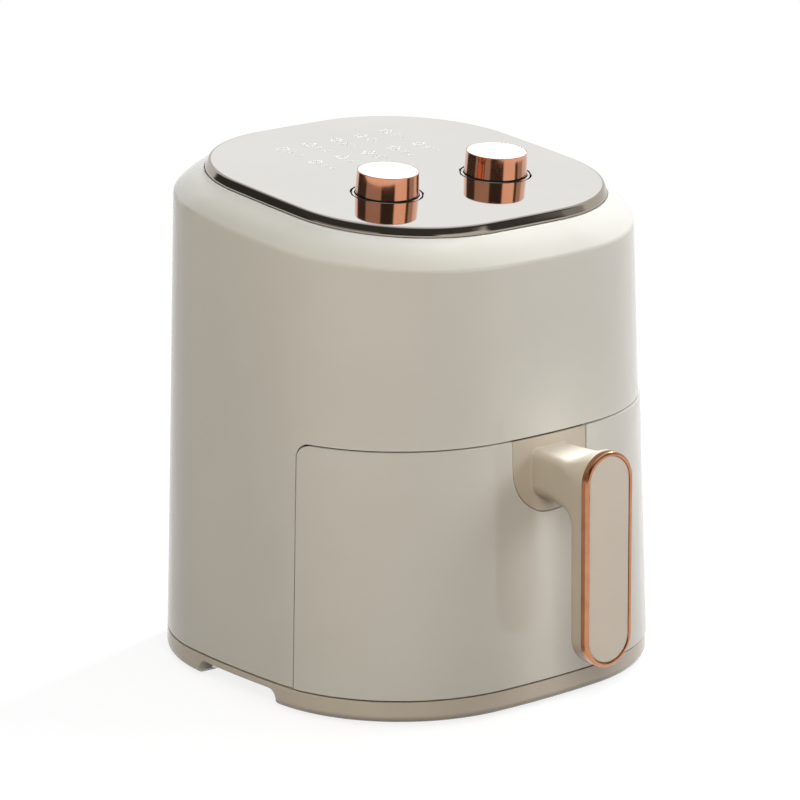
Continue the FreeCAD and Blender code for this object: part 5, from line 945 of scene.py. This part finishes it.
# %% Outer finishes
finishes = {
    # glossy cream ABS: calm colour, a clear highlight and the faintest orange peel
    "body_cream": finish("glossy_cream_ABS", ("d9d7cd", "dcdad1"), 60.0, (0.12, 0.16), (9.0, 0.004)),
    # the handle's and the base's ABS: the body's cream painted deeper and warmer as shade near the floor and
    # under the handle's arm, half gloss
    "shaded_cream": finish("half_gloss_cream_ABS_painted_shade", ("cbc0ae", "cfc5b4"), 50.0, (0.15, 0.2), (6.0, 0.004)),
    # satin ABS: the face plate's cream with a broad highlight
    "face_cream": finish("satin_cream_ABS", ("e2d9ca", "e5ddce"), 40.0, (0.42, 0.48), (0.6, 0.004)),
    # copper plating under clear lacquer: warm, nearly sharp reflections with paler highlights
    "copper_plate": finish(
        "lacquered_copper_plate", ("d98d66", "dc956f"), 12.0, (0.1, 0.14), Metallic=1.0, Coat_Weight=1.0,
        Coat_Roughness=0.05,
    ),
    # the handle ring's plating: the same copper, painted deeper as the dimmer reflections the ring shows,
    # and a little softer
    "ring_copper_painted_dim": finish("satin_copper_plate_painted_dim", ("b27a58", "be8766"), 9.0, (0.15, 0.22), Metallic=1.0),
    # white caps: bright, half-matt
    "cap_white": finish("white_ABS_cap", ("f4f3f0", "f7f6f4"), 20.0, (0.3, 0.36), (0.5, 0.003)),
    # silvered mirror: pale grey, nearly sharp
    "panel_mirror": finish("silvered_mirror", ("dedcd6", "e2e0db"), 80.0, (0.03, 0.05), Metallic=1.0),
    # smoked bevel: the mirror again, darker and browner on its cut edge
    "mirror_bevel": finish("smoked_mirror_bevel", ("9d9386", "a59b8f"), 30.0, (0.08, 0.12), Metallic=1.0),
    # print on the mirror: a thin white ink
    "white_ink": finish("white_screen_ink", ("d6d5d1", "dcdbd8"), 6.0, (0.5, 0.6)),
    # pointer: coral paint
    "pointer_coral": finish("coral_paint", ("e8a09b", "eba8a2"), 3.0, (0.35, 0.45)),
}
print(len(finishes), "outer finishes")

# %% [markdown]
# The inner finishes are seen with the drawer out, through the rear grille or in a view from below: coated
# pan, bright sheet steel, heater tube, moulded black parts, aluminium fans, screws, rubber and silicone.

# %% Inner finishes
ROLLED, TURNED = (8.0, 1.0, 1.0), (1.0, 1.0, 9.0)
finishes.update({
    # non-stick coating: near-black with a soft speckle
    "pan_coating": finish("speckled_nonstick_coating", ("1c1b1a", "2a2826"), 1.6, (0.3, 0.45), (0.8, 0.01)),
    # aluminised sheet steel: grey with streaks along the rolling direction
    "liner_steel": finish(
        "aluminised_sheet_steel", ("a5a6a6", "b9b9b8"), 14.0, (0.26, 0.4), None, ROLLED, Metallic=1.0,
    ),
    # stainless heater tube: straw-tinted from heat
    "heater_steel": finish("heat_tinted_stainless", ("8a8078", "9c8f80"), 9.0, (0.3, 0.42), Metallic=1.0),
    # turned steel: fine rings around the spindle
    "spindle_steel": finish(
        "turned_steel", ("b4b4b2", "c2c2c0"), 3.0, (0.2, 0.32), None, TURNED, Metallic=1.0,
    ),
    # zinc-plated screws: slightly cloudy
    "screw_steel": finish("zinc_plated_steel", ("aeb2b2", "c0c2be"), 1.5, (0.25, 0.4), Metallic=1.0),
    # pressed aluminium: pale and soft
    "fan_aluminium": finish(
        "pressed_aluminium", ("b8b9ba", "c8c8c8"), 6.0, (0.3, 0.45), (0.7, 0.01), Metallic=1.0,
    ),
    # lacquered laminations: thin dark layers
    "motor_steel": finish(
        "lacquered_laminations", ("6f7072", "7e7f80"), 1.2, (0.35, 0.5), None, TURNED, Metallic=0.8,
    ),
    # black glass-filled nylon: matt with fine grain
    "inner_black": finish("black_moulded_nylon", ("232323", "2d2c2b"), 4.0, (0.45, 0.6), (0.5, 0.015)),
    # white polyamide: waxy
    "terminal_white": finish("white_polyamide", ("dedcd2", "e6e4dc"), 5.0, (0.4, 0.5), (0.6, 0.01)),
    # mica board: brown with flakes
    "shield_board": finish("mica_board", ("b49a72", "c9b48c"), 5.0, (0.45, 0.6), (1.2, 0.03)),
    # steatite: dense cream ceramic
    "cutout_ceramic": finish("steatite_ceramic", ("e4ded0", "ece7dc"), 3.0, (0.3, 0.42), (0.7, 0.01)),
    # black rubber: matt
    "foot_rubber": finish("black_rubber", ("2d2b29", "383634"), 3.0, (0.6, 0.75), (0.4, 0.02)),
    # black silicone: soft sheen
    "silicone": finish("black_silicone", ("2e2c2a", "383532"), 3.0, (0.5, 0.62), (0.5, 0.01)),
})
print(len(finishes), "finishes in all")

# %% [markdown]
# A piece takes the finish of its slot, apart from the few whose paint differs, and a CAD node that stays
# in sight takes the finish of the slot that the record names for it.

# %% Dress the pieces
PAINTED = {
    # painted shade: the base, its posts and the handle's moulding take a darker, warmer copy of the body's
    # cream
    "base_ring": "shaded_cream",
    "foot_posts": "shaded_cream",
    "root_plate": "shaded_cream",
    "handle_moulding": "shaded_cream",
    # painted reflection: the ring's copper is darkened for the dim surroundings it mirrors
    "handle_ring": "ring_copper_painted_dim",
    "mirror_rim": "mirror_bevel",
    "printed_settings": "white_ink",
    "timer_dot": "pointer_coral",
    "thermostat_dot": "pointer_coral",
}
for entry in frame["record"]["subparts"]:
    node = nodes[entry["node"]]
    node.data.materials.clear()
    node.data.materials.append(finishes[entry["material_slot"]])
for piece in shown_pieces():
    if piece.name not in nodes:
        piece.data.materials.clear()
        piece.data.materials.append(finishes[PAINTED.get(piece.name, piece["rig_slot"])])

# %% [markdown]
# ## Floor, light and surroundings
# The fryer stands in a white studio. The floor is a wide disc: it keeps the soft shadow near the object
# and is plain white farther out. What it sends back to the object is dimmer and warmer than what the
# camera sees, as a wooden table would be.

# %% Floor
FADE_FROM, FADE_TO = 0.35, 1.3  # metres from the middle over which the floor turns plain white
FLOOR_GREY, FLOOR_GLOW, WHITE = (0.25, 0.25, 0.25, 1.0), 0.82, (1.0, 1.0, 1.0, 1.0)
floor_turn = np.linspace(0.0, 2 * math.pi, 96, endpoint=False)
floor_reach = np.array([0.0, 0.3, 0.6, 1.0, 1.6, 2.5, 4.0, 7.0, 12.0, 20.0, 32.0])[:, None] * 1000.0
floor_x, floor_y = floor_reach * np.cos(floor_turn), floor_reach * np.sin(floor_turn)
floor = new_object("floor", [sheet(np.stack([floor_x, floor_y, 0 * floor_x - 0.1], -1), wrap=True)])
floor_paint = bpy.data.materials.new("studio_floor")
floor_paint.use_nodes = True
tree = floor_paint.node_tree
tree.nodes.clear()
place = add_node(tree, "ShaderNodeTexCoord").outputs["Object"]
away = add_node(tree, "ShaderNodeVectorMath", {0: place}, operation="LENGTH").outputs["Value"]
reach = {"Value": away, "From Min": FADE_FROM, "From Max": FADE_TO}
fade = add_node(tree, "ShaderNodeMapRange", reach, interpolation_type="SMOOTHSTEP")
path = add_node(tree, "ShaderNodeLightPath")
lit = add_node(tree, "ShaderNodeBsdfDiffuse", {"Color": FLOOR_GREY})
glow = add_node(tree, "ShaderNodeEmission", {"Color": WHITE, "Strength": FLOOR_GLOW})
near = add_node(tree, "ShaderNodeAddShader", {0: lit.outputs[0], 1: glow.outputs[0]})
white = add_node(tree, "ShaderNodeEmission", {"Color": WHITE, "Strength": 1.0})
seen = add_node(tree, "ShaderNodeMixShader", {0: fade.outputs[0], 1: near.outputs[0], 2: white.outputs[0]})
bounce = add_node(tree, "ShaderNodeBsdfDiffuse", {"Color": linear("5c452e")})
rays = {0: path.outputs["Is Camera Ray"], 1: path.outputs["Is Glossy Ray"]}
camera_or_gloss = add_node(tree, "ShaderNodeMath", rays, operation="MAXIMUM")
rays = {0: camera_or_gloss.outputs[0], 1: path.outputs["Is Transmission Ray"]}
direct = add_node(tree, "ShaderNodeMath", rays, operation="MAXIMUM")
shares = {0: direct.outputs[0], 1: bounce.outputs[0], 2: seen.outputs[0]}
both = add_node(tree, "ShaderNodeMixShader", shares)
add_node(tree, "ShaderNodeOutputMaterial", {"Surface": both.outputs[0]})
floor.data.materials.append(floor_paint)
print("floor", len(floor.data.vertices), "points")

# %% [markdown]
# The surroundings are white with a few dark flags, as a photographer stands them round polished metal:
# they draw the upright stripes on the copper and the dark line of the bevel. The world's radial gradient
# gives the direction's turn about the upright axis, and a ramp places the flags.

# %% World
FLAGS = (  # turn in degrees from +X about the upright axis, brightness up to the next entry
    (0.0, 0.97), (99.5, 0.06), (150.5, 0.45), (210.5, 0.05),
    (258.5, 1.1), (304.5, 0.08), (316.5, 0.5), (340.5, 0.97),
)
SOFT_EDGE = 2.0  # degrees to each side over which a flag's edge is blurred
WINDOW = ((0.26, 1.0), (0.31, 0.08), (0.93, 0.08), (0.96, 1.0))  # share of the turn, brightness higher up
UPPER_FROM, UPPER_TO, ZENITH_FROM, ZENITH_TO = 0.4, 0.43, 0.7, 0.9  # heights of a unit direction
ZENITH_GREY, AMBIENT = (0.6, 0.6, 0.6, 1.0), 0.11


def place_stops(ramp, stops):
    """Puts grey stops of (position, brightness) on a fresh ramp, which has two of its own."""
    ramp.elements[0].position, ramp.elements[1].position = stops[0][0], stops[-1][0]
    for position, level in stops[1:-1]:
        ramp.elements.new(position)
    for element, (position, level) in zip(ramp.elements, stops):
        element.position = position
        element.color = (level, level, level, 1.0)


world = bpy.data.worlds.new("studio")
bpy.context.scene.world = world
world.use_nodes = True
tree = world.node_tree
tree.nodes.clear()
direction = add_node(tree, "ShaderNodeTexCoord").outputs["Generated"]
halved = {"Vector": direction, "Scale": (-1.0, -1.0, 1.0)}
half_turned = add_node(tree, "ShaderNodeMapping", halved).outputs["Vector"]
gradient = add_node(tree, "ShaderNodeTexGradient", {"Vector": half_turned}, gradient_type="RADIAL")
turned = gradient.outputs["Fac"]
flags = add_node(tree, "ShaderNodeValToRGB", {"Fac": turned})
stops = [(0.0, FLAGS[0][1])]
for (turn, level), before in zip(FLAGS[1:], FLAGS[:-1]):
    stops += [((turn - SOFT_EDGE) / 360.0, before[1]), ((turn + SOFT_EDGE) / 360.0, level)]
stops.append((1.0, FLAGS[-1][1]))
place_stops(flags.color_ramp, stops)
window = add_node(tree, "ShaderNodeValToRGB", {"Fac": turned})
place_stops(window.color_ramp, WINDOW)
height = add_node(tree, "ShaderNodeSeparateXYZ", {"Vector": direction}).outputs["Z"]
zone = {"Value": height, "From Min": UPPER_FROM, "From Max": UPPER_TO}
upper = add_node(tree, "ShaderNodeMapRange", zone).outputs[0]
zone = {"Value": height, "From Min": ZENITH_FROM, "From Max": ZENITH_TO}
zenith = add_node(tree, "ShaderNodeMapRange", zone).outputs[0]
tones = {"Factor": upper, 6: flags.outputs["Color"], 7: window.outputs["Color"]}
sides = add_node(tree, "ShaderNodeMix", tones, data_type="RGBA").outputs[2]
tones = {"Factor": zenith, 6: sides, 7: ZENITH_GREY}
seen_colour = add_node(tree, "ShaderNodeMix", tones, data_type="RGBA").outputs[2]
path = add_node(tree, "ShaderNodeLightPath")
ambient = add_node(tree, "ShaderNodeBackground", {"Color": linear("fffbf4"), "Strength": AMBIENT})
backdrop = add_node(tree, "ShaderNodeBackground", {"Color": seen_colour, "Strength": 1.0})
plain = add_node(tree, "ShaderNodeBackground", {"Color": WHITE, "Strength": 1.0})
shares = {0: path.outputs["Is Glossy Ray"], 1: ambient.outputs[0], 2: backdrop.outputs[0]}
reflected = add_node(tree, "ShaderNodeMixShader", shares)
rays = {0: path.outputs["Is Camera Ray"], 1: path.outputs["Is Transmission Ray"]}
seen = add_node(tree, "ShaderNodeMath", rays, operation="MAXIMUM")
shares = {0: seen.outputs[0], 1: reflected.outputs[0], 2: plain.outputs[0]}
final = add_node(tree, "ShaderNodeMixShader", shares)
add_node(tree, "ShaderNodeOutputWorld", {"Surface": final.outputs[0]})
print("world with", len(flags.color_ramp.elements), "stops")

# %% [markdown]
# Five lamps: a large cool box overhead, a small key behind at the right that just clears the shoulder and
# lights the handle's top, a wide box at the right and two fills at the left. An area lamp's power for a full
# level on a surface facing it is about the square of pi times the distance.

# %% Lamps
FRYER_MIDDLE = Vector((0.0, 0.0, 0.16))


def soft_box(name, spot, size, level, colour):
    """A square lamp that looks at the fryer's middle and lights what faces it to a share of full level."""
    data = bpy.data.lights.new(name, "AREA")
    data.shape = "SQUARE"
    data.size = size
    spot = Vector(spot)
    to_lamp = spot - FRYER_MIDDLE
    data.energy = level * math.pi ** 2 * to_lamp.length_squared
    data.color = linear(colour)[:3]
    lamp = bpy.data.objects.new(name, data)
    lamp.matrix_world = Matrix.Translation(spot) @ to_lamp.to_track_quat("Z", "Y").to_matrix().to_4x4()
    bpy.context.scene.collection.objects.link(lamp)
    return lamp


LAMPS = (  # name, place in metres, size, level, colour, seen in reflections
    ("overhead_box", (0.3, 0.3, 1.9), 1.6, 0.3, "d2e4ff", True),
    ("rear_key", (1.3, 0.42, 1.76), 0.25, 0.64, "ffffff", False),
    ("right_box", (1.5, -0.9, 1.2), 1.1, 0.6, "f8faff", False),
    ("front_fill", (-0.95, -1.25, 1.1), 0.9, 0.5, "fffcf7", False),
    ("left_fill", (-1.6, 0.3, 1.3), 1.0, 0.2, "fff8e7", False),
)
for name, spot, size, level, colour, mirrored in LAMPS:
    soft_box(name, spot, size, level, colour).visible_glossy = mirrored
print(len(LAMPS), "soft boxes")

# %% [markdown]
# A narrow spot from the right, as a photographer's snoot, whitens the top of the handle's arm.

# %% Snoot
SNOOT_WATTS, SNOOT_CONE, SNOOT_BLEND, SNOOT_RADIUS = 480.0, math.radians(1.1), 0.5, 0.02
snoot_spot, snoot_aim = Vector((1.155, -0.11, 1.26)), Vector((0.004, -0.141, 0.157))
snoot_data = bpy.data.lights.new("snoot", "SPOT")
snoot_data.energy = SNOOT_WATTS
snoot_data.spot_size = SNOOT_CONE
snoot_data.spot_blend = SNOOT_BLEND
snoot_data.shadow_soft_size = SNOOT_RADIUS
snoot_data.color = linear("e2ebff")[:3]
snoot = bpy.data.objects.new("snoot", snoot_data)
snoot_turn = (snoot_spot - snoot_aim).to_track_quat("Z", "Y").to_matrix().to_4x4()
snoot.matrix_world = Matrix.Translation(snoot_spot) @ snoot_turn
bpy.context.scene.collection.objects.link(snoot)
bpy.context.scene.view_settings.view_transform = "Standard"  # screen colours without a film curve
print("snoot of", SNOOT_WATTS, "watts")
